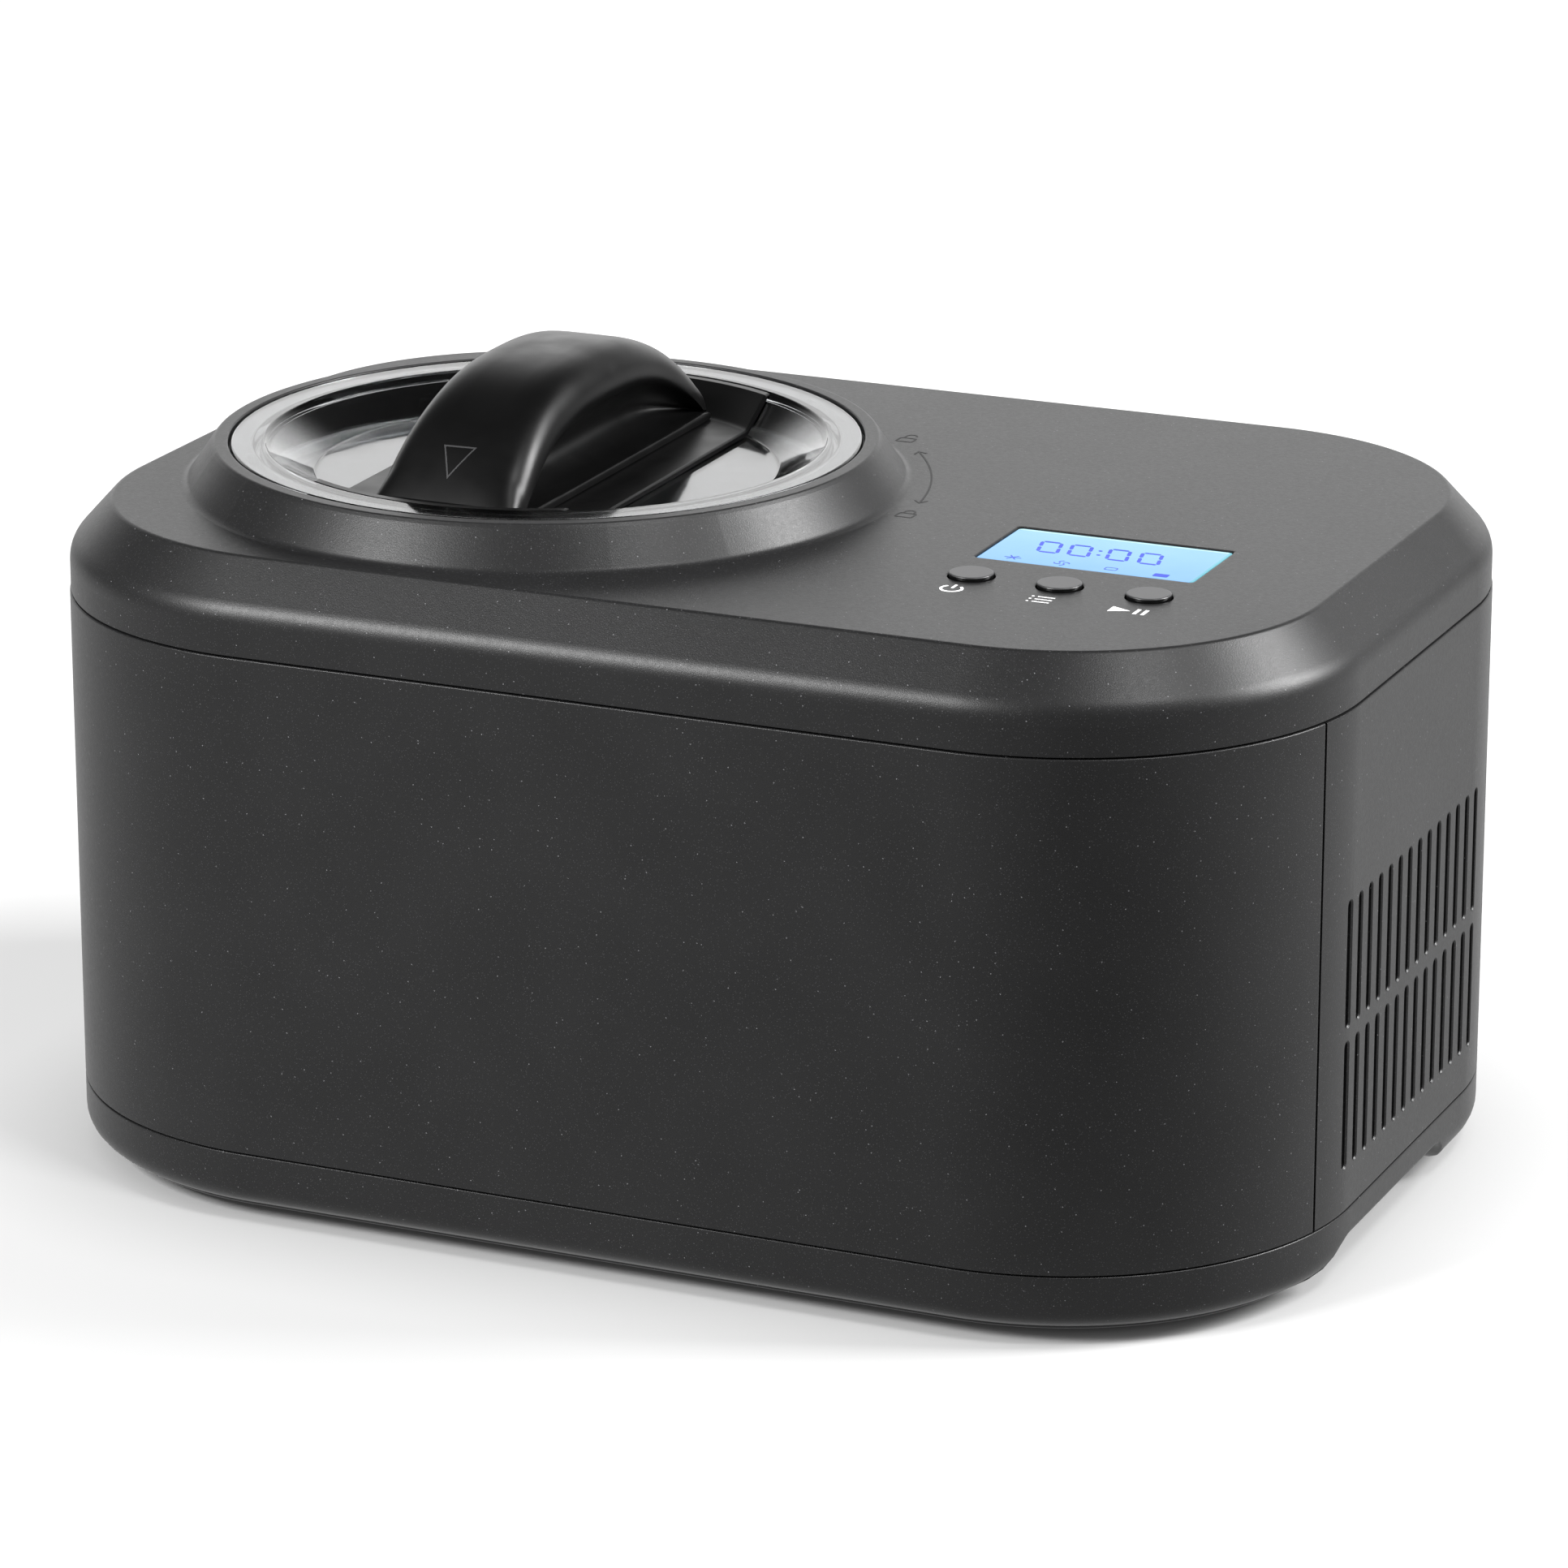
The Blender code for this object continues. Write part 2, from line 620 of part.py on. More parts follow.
def make_insulation():
    foam = material("foam", (0.8, 0.76, 0.6), 0.9)
    outline = arc(LID_X, LID_Y, 103.0, 10.0, 350.0, 30) + arc(LID_X, LID_Y, 93.6, 350.0, 10.0, 30)
    add_node("insulation_jacket", prism(outline, 61.0, 192.6), foam)
    profile = ((16.0, 60.9), (92.0, 60.9), (92.0, 63.6), (16.0, 63.6))
    add_node("insulation_base", turned(profile, 24, LID_X, LID_Y), foam)


def polar(radius, degrees, height):
    angle = math.radians(degrees)
    return (LID_X + radius * math.cos(angle), LID_Y + radius * math.sin(angle), height)


def make_evaporator():
    """Helix round the well; both tails drop through the gap in the jacket."""
    tail_in = smooth_route([polar(97.5, -6.0, 62.0), polar(97.5, -6.0, 70.0), polar(96.0, -5.0, 77.0),
                            polar(90.5, -1.5, 80.0)], 2)
    helix = []
    steps = 20 * COIL_TURNS
    for k in range(1, steps):
        helix.append(polar(COIL_R, 360.0 * COIL_TURNS * k / steps, 80.0 + 96.0 * k / steps))
    tail_out = smooth_route([polar(90.5, 1.5, 176.5), polar(96.0, 5.0, 175.0), polar(97.5, 6.0, 168.0),
                             polar(97.5, 6.0, 62.0)], 2)
    tube("evaporator_coil", tail_in + helix + tail_out, 3.0, copper())


# ---------------------------------------------------------------- drive


def gear_outline(teeth, x, y, tooth_at):
    """Straight-flanked spur teeth, with one tooth centred on the given angle."""
    pitch = 2 * math.pi / teeth
    tip = GEAR_MODULE * (teeth / 2 + 0.8)
    root = GEAR_MODULE * (teeth / 2 - 1.1)
    points = []
    for k in range(teeth):
        middle = math.radians(tooth_at) + k * pitch
        for share, radius in ((-0.3, root), (-0.1, tip), (0.1, tip), (0.3, root)):
            angle = middle + share * pitch
            points.append((x + radius * math.cos(angle), y + radius * math.sin(angle)))
    return points


def make_gears():
    half = 180.0 / PINION_TEETH
    wheel = prism(gear_outline(WHEEL_TEETH, LID_X, LID_Y, IDLER_DEG), 48.0, 54.0)
    output = add_node("output_gear", wheel, nylon(), (LID_X, LID_Y, 48.0), smooth=False)
    combine(output, cylinder(LID_X, LID_Y, 5.9, 46.0, 56.0, 16), "DIFFERENCE")

    big = prism(gear_outline(WHEEL_TEETH, IDLER_X, IDLER_Y, 0.0), 40.0, 46.0)
    idler = add_node("idler_gear", big, nylon(), (IDLER_X, IDLER_Y, 40.0), smooth=False)
    small = prism(gear_outline(PINION_TEETH, IDLER_X, IDLER_Y, IDLER_DEG + 180.0 + half), 44.0, 55.0)
    combine(idler, small, "UNION")
    combine(idler, cylinder(IDLER_X, IDLER_Y, 3.3, 36.0, 58.0, 12), "DIFFERENCE")

    pinion = prism(gear_outline(PINION_TEETH, ROTOR_X, ROTOR_Y, 180.0 + half), 39.5, 46.5)
    rotor = add_node("motor_pinion", pinion, steel(), (ROTOR_X, ROTOR_Y, 39.5), smooth=False)
    combine(rotor, cylinder(ROTOR_X, ROTOR_Y, 2.5, 22.0, 42.0, 12), "UNION")


def make_shafts():
    profile = ((0.0, 34.0), (4.0, 34.0), (4.0, 38.8), (5.6, 38.8), (5.6, 105.0), (0.0, 105.0))
    shaft = add_node("drive_shaft", turned(profile, 16, LID_X, LID_Y), steel(), (LID_X, LID_Y, 34.0))
    head = box((LID_X - 4.5, LID_X + 4.5), (LID_Y - 4.5, LID_Y + 4.5), (100.0, 116.0))
    combine(shaft, head, "UNION")
    add_node("idler_axle", cylinder(IDLER_X, IDLER_Y, 2.9, 38.4, 56.8, 12), steel())


def make_gearbox():
    centre_x = sum(HOUSING_X) / 2
    centre_y = sum(HOUSING_Y) / 2
    half_x = (HOUSING_X[1] - HOUSING_X[0]) / 2
    half_y = (HOUSING_Y[1] - HOUSING_Y[0]) / 2

    def ring(inset, z):
        outline = rounded_rect(half_x - inset, half_y - inset, 12.0 - inset, 3)
        return [(x + centre_x, y + centre_y, z) for x, y in outline]

    grey = material("grey_plastic", (0.25, 0.26, 0.27), 0.5)
    housing = add_node("gearbox_housing", loft([ring(0.0, 35.5), ring(0.0, 57.0), ring(2.5, 57.0), ring(2.5, 38.0)]),
                       grey)
    holes = cylinder(LID_X, LID_Y, 4.4, 30.0, 45.0, 16)
    cylinder(ROTOR_X, ROTOR_Y, 3.2, 30.0, 45.0, 12, holes)
    combine(housing, holes, "DIFFERENCE")
    cover = add_node("gearbox_cover", loft([ring(0.0, 57.3), ring(0.0, 60.0)]), grey)
    combine(cover, cylinder(LID_X, LID_Y, 6.2, 50.0, 70.0, 16), "DIFFERENCE")
    can = ((0.0, 8.0), (18.0, 8.0), (21.0, 10.0), (21.0, 33.4), (19.5, 35.2), (3.0, 35.2), (3.0, 21.0), (0.0, 21.0))
    add_node("gear_motor", turned(can, 20, ROTOR_X, ROTOR_Y), steel())


# ---------------------------------------------------------------- cooling side


def make_compressor():
    x, y = COMPRESSOR
    dark = material("compressor_paint", (0.02, 0.02, 0.022), 0.35)
    shell = (
        (0.0, 17.5), (28.0, 17.5), (40.0, 23.0), (44.0, 32.0), (44.0, 64.0), (46.4, 64.6), (46.4, 67.4),
        (44.0, 68.0), (44.0, 100.0), (40.5, 112.0), (30.0, 122.0), (16.0, 127.5), (0.0, 129.0),
    )
    add_node("compressor", turned(shell, 24, x, y), dark)
    outline = [(x + u, y + v) for u, v in rounded_rect(PLATE_HALF, PLATE_HALF, 8.0, 2)]
    add_node("compressor_plate", prism(outline, 14.0, 17.0), steel())
    spool = ((0.0, 7.3), (7.0, 7.3), (5.4, 10.5), (7.0, 13.7), (0.0, 13.7))
    for index, (sx, sy) in enumerate(((-1, -1), (1, -1), (-1, 1), (1, 1)), 1):
        add_node(f"grommet_{index}", turned(spool, 12, x + sx * 40.0, y + sy * 40.0), rubber())


def make_condenser():
    """A straight-finned block with a serpentine tube in front of it."""
    spine = (180.0, 181.0)
    outer, inner = 189.5, 171.8
    front = []
    back = []
    for k in range(FIN_COUNT):
        y = (k - (FIN_COUNT - 1) / 2) * FIN_PITCH
        low, high = y - 0.5, y + 0.5
        front += [(spine[1], low), (outer, low), (outer, high), (spine[1], high)]
        back += [(spine[0], low), (inner, low), (inner, high), (spine[0], high)]
    add_node("condenser_fins", prism(front + back[::-1], 28.0, 128.0), aluminium(), smooth=False)
    route = [(166.5, -62.4, 114.0)]
    for k in range(6):
        z = 114.0 - 16.0 * k
        side = 1 if k % 2 == 0 else -1
        if k == 5:
            route += [(166.5, 40.0, z), (166.5, -62.4, z)]
            break
        route.append((166.5, side * 46.0, z))
        for deg in (30.0, 60.0, 90.0, 120.0, 150.0):
            angle = math.radians(deg)
            route.append((166.5, side * (46.0 + 8.0 * math.sin(angle)), z - 8.0 + 8.0 * math.cos(angle)))
        route.append((166.5, side * 46.0, z - 16.0))
    route = [point for k, point in enumerate(route) if k == 0 or point != route[k - 1]]
    tube("condenser_coil", route, 2.6, copper(), 1)


def fan_blade(angle):
    """One pitched blade between the hub and the tip, as a thin closed slab about the Z axis."""
    sections = []
    for radius, chord, pitch in ((10.0, 11.0, 48.0), (26.0, 17.0, 36.0), (42.5, 21.0, 26.0)):
        tilt = math.radians(pitch)
        outline = []
        for along, across in ((-1, -1), (1, -1), (1, 1), (-1, 1)):
            t = along * chord / 2 * math.cos(tilt) - across * 0.7 * math.sin(tilt)
            z = along * chord / 2 * math.sin(tilt) + across * 0.7 * math.cos(tilt)
            spot = Matrix.Rotation(angle, 3, "Z") @ Vector((radius, t, z))
            outline.append(tuple(spot))
        sections.append(outline)
    return sections


def make_fan():
    hub = turned(((0.0, -10.5), (1.6, -10.5), (1.6, -4.6), (12.0, -4.6), (12.0, 3.6), (10.8, 4.8), (0.0, 4.8)), 16)
    fan = add_node("fan_rotor", lay_along_x(hub, 152.5, 0.0, FAN_Z), black(), (152.5, 0.0, FAN_Z))
    blades = bmesh.new()
    for k in range(5):
        loft(fan_blade(2 * math.pi * k / 5), bm=blades)
    combine(fan, lay_along_x(blades, 152.5, 0.0, FAN_Z), "UNION")
    can = turned(((0.0, -8.0), (12.5, -8.0), (14.0, -6.5), (14.0, 7.0), (2.4, 7.0), (2.4, 0.0), (0.0, 0.0)), 16)
    add_node("fan_motor", lay_along_x(can, 139.2, 0.0, FAN_Z), steel())
    plate = box((158.4, 160.6), (-54.0, 54.0), (7.4, 132.0))
    shroud = add_node("fan_shroud", plate, black())
    combine(shroud, lay_along_x(cylinder(0.0, 0.0, 48.0, -11.0, 11.2, 28), 148.5, 0.0, FAN_Z), "UNION")
    combine(shroud, lay_along_x(cylinder(0.0, 0.0, 46.0, -20.0, 20.0, 28), 148.5, 0.0, FAN_Z), "DIFFERENCE")
    cup = turned(((14.4, -2.5), (16.6, -2.5), (16.6, 2.5), (14.4, 2.5)), 16)
    combine(shroud, lay_along_x(cup, 140.4, 0.0, FAN_Z), "UNION")
    arms = bmesh.new()
    for k in range(3):
        start = Matrix.Rotation(2 * math.pi * k / 3 + math.pi / 6, 3, "X")
        outline = [start @ Vector((0.0, u, v)) for u, v in ((15.5, -2.0), (47.0, -2.0), (47.0, 2.0), (15.5, 2.0))]
        near = [(138.6, p.y, p.z + FAN_Z) for p in outline]
        far = [(141.6, p.y, p.z + FAN_Z) for p in outline]
        loft([near, far], bm=arms)
    combine(shroud, arms, "UNION")


def make_pipes():
    tube("discharge_tube", smooth_route([(118.6, -7.0, 90.0), (124.0, -13.0, 90.0), (127.0, -26.0, 92.0),
                                         (130.0, -58.0, 97.0), (142.0, -73.0, 106.0), (159.0, -74.5, 113.0),
                                         (166.0, -70.0, 114.0), (166.5, -63.0, 114.0)], 3), 2.5, copper(), 1)
    tube("suction_tube", smooth_route([polar(97.5, 6.0, 61.3), polar(97.5, 6.0, 55.0), (27.0, 6.0, 49.0),
                                       (30.0, 17.5, 48.0), (39.0, 22.0, 48.0)], 3), 3.0, copper(), 1)
    tube("liquid_tube", smooth_route([(166.5, -63.0, 34.0), (166.5, -78.0, 34.0), (161.0, -89.5, 34.0),
                                      (150.6, -92.0, 34.0)], 3), 2.3, copper(), 1)
    tube("capillary_tube", smooth_route([polar(97.5, -6.0, 61.3), polar(97.5, -6.0, 52.0), (36.0, -44.0, 44.0),
                                         (58.0, -76.0, 36.0), (78.0, -91.0, 34.0), (93.4, -92.0, 34.0)], 3),
         1.3, copper(), 1)
    shell = turned(((0.0, -28.0), (3.0, -28.0), (3.0, -23.0), (8.6, -17.0), (8.6, 17.0), (3.0, 23.0),
                    (3.0, 28.0), (0.0, 28.0)), 12)
    add_node("filter_drier", lay_along_x(shell, 122.0, -92.0, 34.0), copper())


def make_control_board():
    board = add_node("control_board", box((36.0, 146.0), (127.0, 128.6), (62.0, 150.0)), board_green(), smooth=False)
    parts = box((46.0, 74.0), (112.0, 127.8), (72.0, 92.0))
    box((84.0, 104.0), (110.0, 127.8), (70.0, 86.0), parts)
    box((112.0, 138.0), (108.0, 127.8), (96.0, 140.0), parts)
    box((48.0, 70.0), (118.0, 127.8), (112.0, 138.0), parts)
    combine(board, parts, "UNION")


def main():
    clear_scene()
    make_base_tray()
    make_feet()
    make_wraps()
    make_side_panels()
    make_top_cover()
    make_control_panel()
    make_inlet()
    make_lid_dish()
    make_lid_band()
    make_lid_handle()
    make_lid_screws()
    make_lid_seal()
    make_bowl()
    make_paddle()
    make_cooling_well()
    make_insulation()
    make_evaporator()
    make_gears()
    make_shafts()
    make_gearbox()
    make_compressor()
    make_condenser()
    make_fan()
    make_pipes()
    make_control_board()


main()
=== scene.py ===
"""Looks of the countertop frozen-dessert maker: dark textured housing, clear twist lid, lit display."""

import json
import math

import bmesh
import bpy
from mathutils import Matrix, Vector


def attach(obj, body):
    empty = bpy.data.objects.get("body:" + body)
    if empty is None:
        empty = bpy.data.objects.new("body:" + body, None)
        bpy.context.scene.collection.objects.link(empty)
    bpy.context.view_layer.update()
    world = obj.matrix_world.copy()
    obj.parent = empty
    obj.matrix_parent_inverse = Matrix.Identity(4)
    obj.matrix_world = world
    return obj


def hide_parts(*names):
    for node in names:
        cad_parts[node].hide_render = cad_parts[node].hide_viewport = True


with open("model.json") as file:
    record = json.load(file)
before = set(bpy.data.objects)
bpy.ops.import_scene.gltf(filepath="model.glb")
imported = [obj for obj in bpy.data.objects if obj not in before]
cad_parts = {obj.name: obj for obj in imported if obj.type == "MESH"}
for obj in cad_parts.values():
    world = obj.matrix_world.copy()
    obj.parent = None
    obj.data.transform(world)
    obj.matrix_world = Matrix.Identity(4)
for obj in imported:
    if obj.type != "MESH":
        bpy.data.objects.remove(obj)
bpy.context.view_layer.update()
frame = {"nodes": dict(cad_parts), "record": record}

MM = 0.001
DEG = math.pi / 180
SHARP_DEG = 30.0

# Housing, in millimetres, as in the CAD
HALF_X = 202.5
HALF_Y = 142.5
CORNER_R = 90.0
CORNER_STEPS = 30
DECK_Z = 203.2
CEILING_Z = 200.4
TRAY_TOP = 22.0
TRAY_FLOOR = 7.0
PANEL_Z = (22.4, 175.7)
WALL = 2.4
COVER_SKIRT_Z = 170.3
COVER_EDGE_Z = 176.1
SEAM_DEG = 14.2
SEAM_GAP_DEG = 0.22
FOOT_XY = (150.0, 95.0)
GEARBOX_POSTS = ((-98.0, -36.0), (-39.0, -36.0), (-98.0, 39.0), (-36.0, 42.0))
INLET_X = (66.1, 93.9)
INLET_Z = (34.6, 55.4)

# Lid: four lugs drop through wider notches in the collar
LID = (-71.3, -14.3)
LID_STEPS = 144
LUG_MIDDLES = (45.0, 135.0, 225.0, 315.0)
LUG_HALF_DEG = 7
NOTCH_HALF_DEG = 9.5
BAND_HALF = 41.0
SLOT_ROWS = ((36.0, 75.0), (79.4, 118.0))
SLOT_COUNT = 14
SLOT_PITCH = 8.8
SLOT_WIDTH = 3.2
WINDOW_MIDDLE = (114.5, -28.0)
WINDOW_HALF = (33.5, 17.5)
BUTTON_Y = -64.5
BUTTON_TOP = 204.4
BUTTONS = (
    ("power_button", "power_key", 87.6),
    ("menu_button", "menu_key", 114.8),
    ("start_button", "start_key", 142.1),
)


# ---------------------------------------------------------------- meshes


def even_normals(piece):
    modifier = piece.modifiers.new("even_normals", "WEIGHTED_NORMAL")
    modifier.keep_sharp = True


def place(name, bm, mat, body, replaced=(), sharp=SHARP_DEG, weighted=True):
    """Turns millimetre geometry into a piece that rides on a body and stands for CAD nodes."""
    bmesh.ops.recalc_face_normals(bm, faces=bm.faces[:])
    bmesh.ops.scale(bm, verts=bm.verts[:], vec=(MM, MM, MM))
    mesh = bpy.data.meshes.new(name)
    bm.to_mesh(mesh)
    bm.free()
    mesh.shade_smooth()
    mesh.set_sharp_from_angle(angle=sharp * DEG)
    mesh.materials.append(mat)
    piece = bpy.data.objects.new(name, mesh)
    bpy.context.scene.collection.objects.link(piece)
    if weighted:
        even_normals(piece)
    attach(piece, body)
    if replaced:
        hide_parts(*replaced)
    return piece


def rounded(points, closed=True, turn=12.0, support=0.5):
    """Rounds the corners of an outline of (u, v, radius) and adds a supporting point beside each arc."""
    count = len(points)
    out = []
    for i, (u, v, radius) in enumerate(points):
        here = Vector((u, v))
        if radius <= 0 or (not closed and i in (0, count - 1)):
            out.append((u, v))
            continue
        back = Vector(points[i - 1][:2]) - here
        ahead = Vector(points[(i + 1) % count][:2]) - here
        half = back.angle(ahead) / 2
        reach = min(radius / math.tan(half), 0.46 * min(back.length, ahead.length))
        radius = reach * math.tan(half)
        back_dir, ahead_dir = back.normalized(), ahead.normalized()
        centre = here + (back_dir + ahead_dir).normalized() * (radius / math.sin(half))
        start = here + back_dir * reach - centre
        end = here + ahead_dir * reach - centre
        total = math.atan2(start.x * end.y - start.y * end.x, start.dot(end))
        steps = max(2, math.ceil(abs(total) / (turn * DEG)))
        if back.length - reach > 4 * support:
            out.append(tuple(here + back_dir * (reach + support)))
        for k in range(steps + 1):
            angle = total * k / steps
            c, s = math.cos(angle), math.sin(angle)
            out.append((centre.x + start.x * c - start.y * s, centre.y + start.x * s + start.y * c))
        if ahead.length - reach > 4 * support:
            out.append(tuple(here + ahead_dir * (reach + support)))
    return out


def skin(bm, rings, wrap_rings=False, wrap_around=True):
    """Joins equal-count rings of vertices with quads."""
    pairs = list(zip(rings, rings[1:]))
    if wrap_rings:
        pairs.append((rings[-1], rings[0]))
    for lower, upper in pairs:
        count = len(lower)
        for i in range(count if wrap_around else count - 1):
            j = (i + 1) % count
            bm.faces.new((lower[i], lower[j], upper[j], upper[i]))


def add_ring(bm, points):
    return [bm.verts.new(point) for point in points]


def loop_edges(bm, ring):
    edges = []
    for a, b in zip(ring, ring[1:] + ring[:1]):
        edges.append(bm.edges.get((a, b)) or bm.edges.new((a, b)))
    return edges


def fill(bm, rings):
    """Fills the flat area between an outer ring and any rings inside it."""
    edges = [edge for ring in rings for edge in loop_edges(bm, ring)]
    bmesh.ops.triangle_fill(bm, use_beauty=True, use_dissolve=False, edges=edges)


def arc(cx, cy, radius, start, stop, steps):
    out = []
    for k in range(steps + 1):
        angle = (start + (stop - start) * k / steps) * DEG
        out.append((cx + radius * math.cos(angle), cy + radius * math.sin(angle)))
    return out


def rounded_rect(half_x, half_y, radius, steps, cx=0.0, cy=0.0):
    out = []
    for sx, sy, start in ((1, -1, -90.0), (1, 1, 0.0), (-1, 1, 90.0), (-1, -1, 180.0)):
        out += arc(cx + sx * (half_x - radius), cy + sy * (half_y - radius), radius, start, start + 90.0, steps)
    return out


def body_ring(bm, inset, z):
    outline = rounded_rect(HALF_X - inset, HALF_Y - inset, CORNER_R - inset, CORNER_STEPS)
    return add_ring(bm, [(x, y, z) for x, y in outline])


def circle(bm, radius, z, steps, cx, cy):
    out = []
    for k in range(steps):
        angle = 2 * math.pi * k / steps
        out.append(bm.verts.new((cx + radius * math.cos(angle), cy + radius * math.sin(angle), z)))
    return out


def turned(profile, steps, cx, cy, bm=None):
    """Turns a closed outline of (radius, z), given in order, about a vertical axis."""
    bm = bm or bmesh.new()
    rings = []
    for radius, z in profile:
        if radius < 1e-6:
            rings.append([bm.verts.new((cx, cy, z))])
        else:
            rings.append(circle(bm, radius, z, steps, cx, cy))
    for near, far in zip(rings, rings[1:] + rings[:1]):
        if len(near) == 1 and len(far) == 1:
            continue
        for k in range(steps):
            j = (k + 1) % steps
            if len(near) == 1:
                bm.faces.new((near[0], far[j], far[k]))
            elif len(far) == 1:
                bm.faces.new((near[k], near[j], far[0]))
            else:
                bm.faces.new((near[k], near[j], far[j], far[k]))
    return bm


def prism(bm, outline, low, high):
    bottom = add_ring(bm, [(x, y, low) for x, y in outline])
    top = add_ring(bm, [(x, y, high) for x, y in outline])
    skin(bm, [bottom, top])
    bm.faces.new(bottom[::-1])
    bm.faces.new(top)
    return bm


# ---------------------------------------------------------------- materials


def feed(tree, socket, value):
    """Links an output into a socket, or sets the socket to a plain value."""
    if hasattr(value, "links"):
        tree.links.new(value, socket)
    else:
        socket.default_value = value


def math_node(tree, operation, first, second):
    node = tree.nodes.new("ShaderNodeMath")
    node.operation = operation
    feed(tree, node.inputs[0], first)
    feed(tree, node.inputs[1], second)
    return node.outputs[0]


def range_node(tree, value, low, high, out_low, out_high, interpolation="LINEAR"):
    """Maps a value to a range, clamped at both ends."""
    node = tree.nodes.new("ShaderNodeMapRange")
    node.interpolation_type = interpolation
    tree.links.new(value, node.inputs["Value"])
    for key, number in zip(("From Min", "From Max", "To Min", "To Max"), (low, high, out_low, out_high)):
        feed(tree, node.inputs[key], number)
    return node.outputs["Result"]


class Nodes:
    """Short names for the shader nodes of one material."""

    def __init__(self, name):
        self.mat = bpy.data.materials.new(name)
        self.mat.use_nodes = True
        self.tree = self.mat.node_tree
        self.shader = self.tree.nodes["Principled BSDF"]
        self.coords = self.tree.nodes.new("ShaderNodeTexCoord").outputs["Object"]

    def set(self, **values):
        for key, value in values.items():
            feed(self.tree, self.shader.inputs[key.replace("_", " ")], value)

    def noise(self, scale, detail=2.0, rough=0.5, stretch=None):
        node = self.tree.nodes.new("ShaderNodeTexNoise")
        node.inputs["Scale"].default_value = scale
        node.inputs["Detail"].default_value = detail
        node.inputs["Roughness"].default_value = rough
        source = self.coords
        if stretch:
            mapping = self.tree.nodes.new("ShaderNodeMapping")
            mapping.inputs["Scale"].default_value = stretch
            self.tree.links.new(self.coords, mapping.inputs["Vector"])
            source = mapping.outputs["Vector"]
        self.tree.links.new(source, node.inputs["Vector"])
        return node.outputs["Fac"]

    def cells(self, scale):
        node = self.tree.nodes.new("ShaderNodeTexVoronoi")
        node.inputs["Scale"].default_value = scale
        self.tree.links.new(self.coords, node.inputs["Vector"])
        return node.outputs["Distance"]

    def ramp(self, value, low, high, out_low, out_high):
        return range_node(self.tree, value, low, high, out_low, out_high)

    def blend(self, share, first, second):
        """Colour between two colours, or outputs, by a share."""
        node = self.tree.nodes.new("ShaderNodeMix")
        node.data_type = "RGBA"
        self.tree.links.new(share, node.inputs[0])
        for index, value in ((6, first), (7, second)):
            feed(self.tree, node.inputs[index], value if hasattr(value, "links") else (*value, 1.0))
        return node.outputs[2]

    def maths(self, operation, first, second):
        return math_node(self.tree, operation, first, second)

    def axis(self, name):
        node = self.tree.nodes.new("ShaderNodeSeparateXYZ")
        self.tree.links.new(self.coords, node.inputs[0])
        return node.outputs[name]

    def radius(self, centre=(0.0, 0.0, 0.0)):
        node = self.tree.nodes.new("ShaderNodeVectorMath")
        node.operation = "DISTANCE"
        self.tree.links.new(self.coords, node.inputs[0])
        node.inputs[1].default_value = centre
        return node.outputs["Value"]

    def occlusion(self, distance):
        node = self.tree.nodes.new("ShaderNodeAmbientOcclusion")
        node.inputs["Distance"].default_value = distance
        return node.outputs["AO"]

    def seen(self, direct, otherwise):
        """One value where the camera looks at it directly, another in reflections and bounced light."""
        camera_ray = self.tree.nodes.new("ShaderNodeLightPath").outputs["Is Camera Ray"]
        return range_node(self.tree, camera_ray, 0.0, 1.0, otherwise, direct)

    def bump(self, height, distance, strength=1.0, after=None):
        node = self.tree.nodes.new("ShaderNodeBump")
        node.inputs["Distance"].default_value = distance
        node.inputs["Strength"].default_value = strength
        self.tree.links.new(height, node.inputs["Height"])
        if after:
            self.tree.links.new(after, node.inputs["Normal"])
        return node.outputs["Normal"]


def grey(value):
    return (value, value, value * 1.03)


def textured_plastic(name, dark, light, rough, level, grain=3.2e-5):
    """Moulded charcoal plastic with a fine spark-eroded grain, a few metallic flecks and small lighter dots
    painted as glints.
    """
    n = Nodes(name)
    colour = n.blend(n.ramp(n.noise(28.0, 3.0), 0.35, 0.65, 0.0, 1.0), dark, light)
    fleck = n.ramp(n.cells(330.0), 0.045, 0.075, 1.0, 0.0)
    colour = n.blend(fleck, colour, (0.13, 0.13, 0.135))
    # Small lighter dots: painted glints standing in for the sparkle of the grain in highlights.
    spark = n.ramp(n.cells(1250.0), 0.13, 0.24, 1.0, 0.0)
    colour = n.blend(spark, colour, (0.03, 0.03, 0.031))
    fine = n.noise(2600.0, 1.0)
    n.set(Base_Color=colour, Roughness=n.ramp(n.noise(700.0, 3.0), 0.3, 0.7, rough - 0.02, rough + 0.02),
          Normal=n.bump(fine, grain))
    n.set(Specular_IOR_Level=level)
    return n.mat


def satin_plastic(name, dark, light, rough, level=0.5, grain=6e-6):
    n = Nodes(name)
    colour = n.blend(n.ramp(n.noise(40.0, 3.0), 0.35, 0.65, 0.0, 1.0), dark, light)
    n.set(Base_Color=colour, Roughness=n.ramp(n.noise(90.0, 4.0), 0.3, 0.7, rough - 0.035, rough + 0.035),
          Normal=n.bump(n.noise(1500.0, 2.0), grain))
    n.set(Specular_IOR_Level=level)
    return n.mat


def brushed_metal(name, dark, light, rough, stretch=(1.0, 1.0, 14.0), scale=160.0):
    n = Nodes(name)
    streak = n.noise(scale, 3.0, 0.55, stretch)
    n.set(Base_Color=n.blend(n.ramp(streak, 0.3, 0.7, 0.0, 1.0), dark, light), Metallic=1.0,
          Roughness=n.ramp(streak, 0.3, 0.7, rough - 0.05, rough + 0.06), Normal=n.bump(streak, 6e-6))
    return n.mat


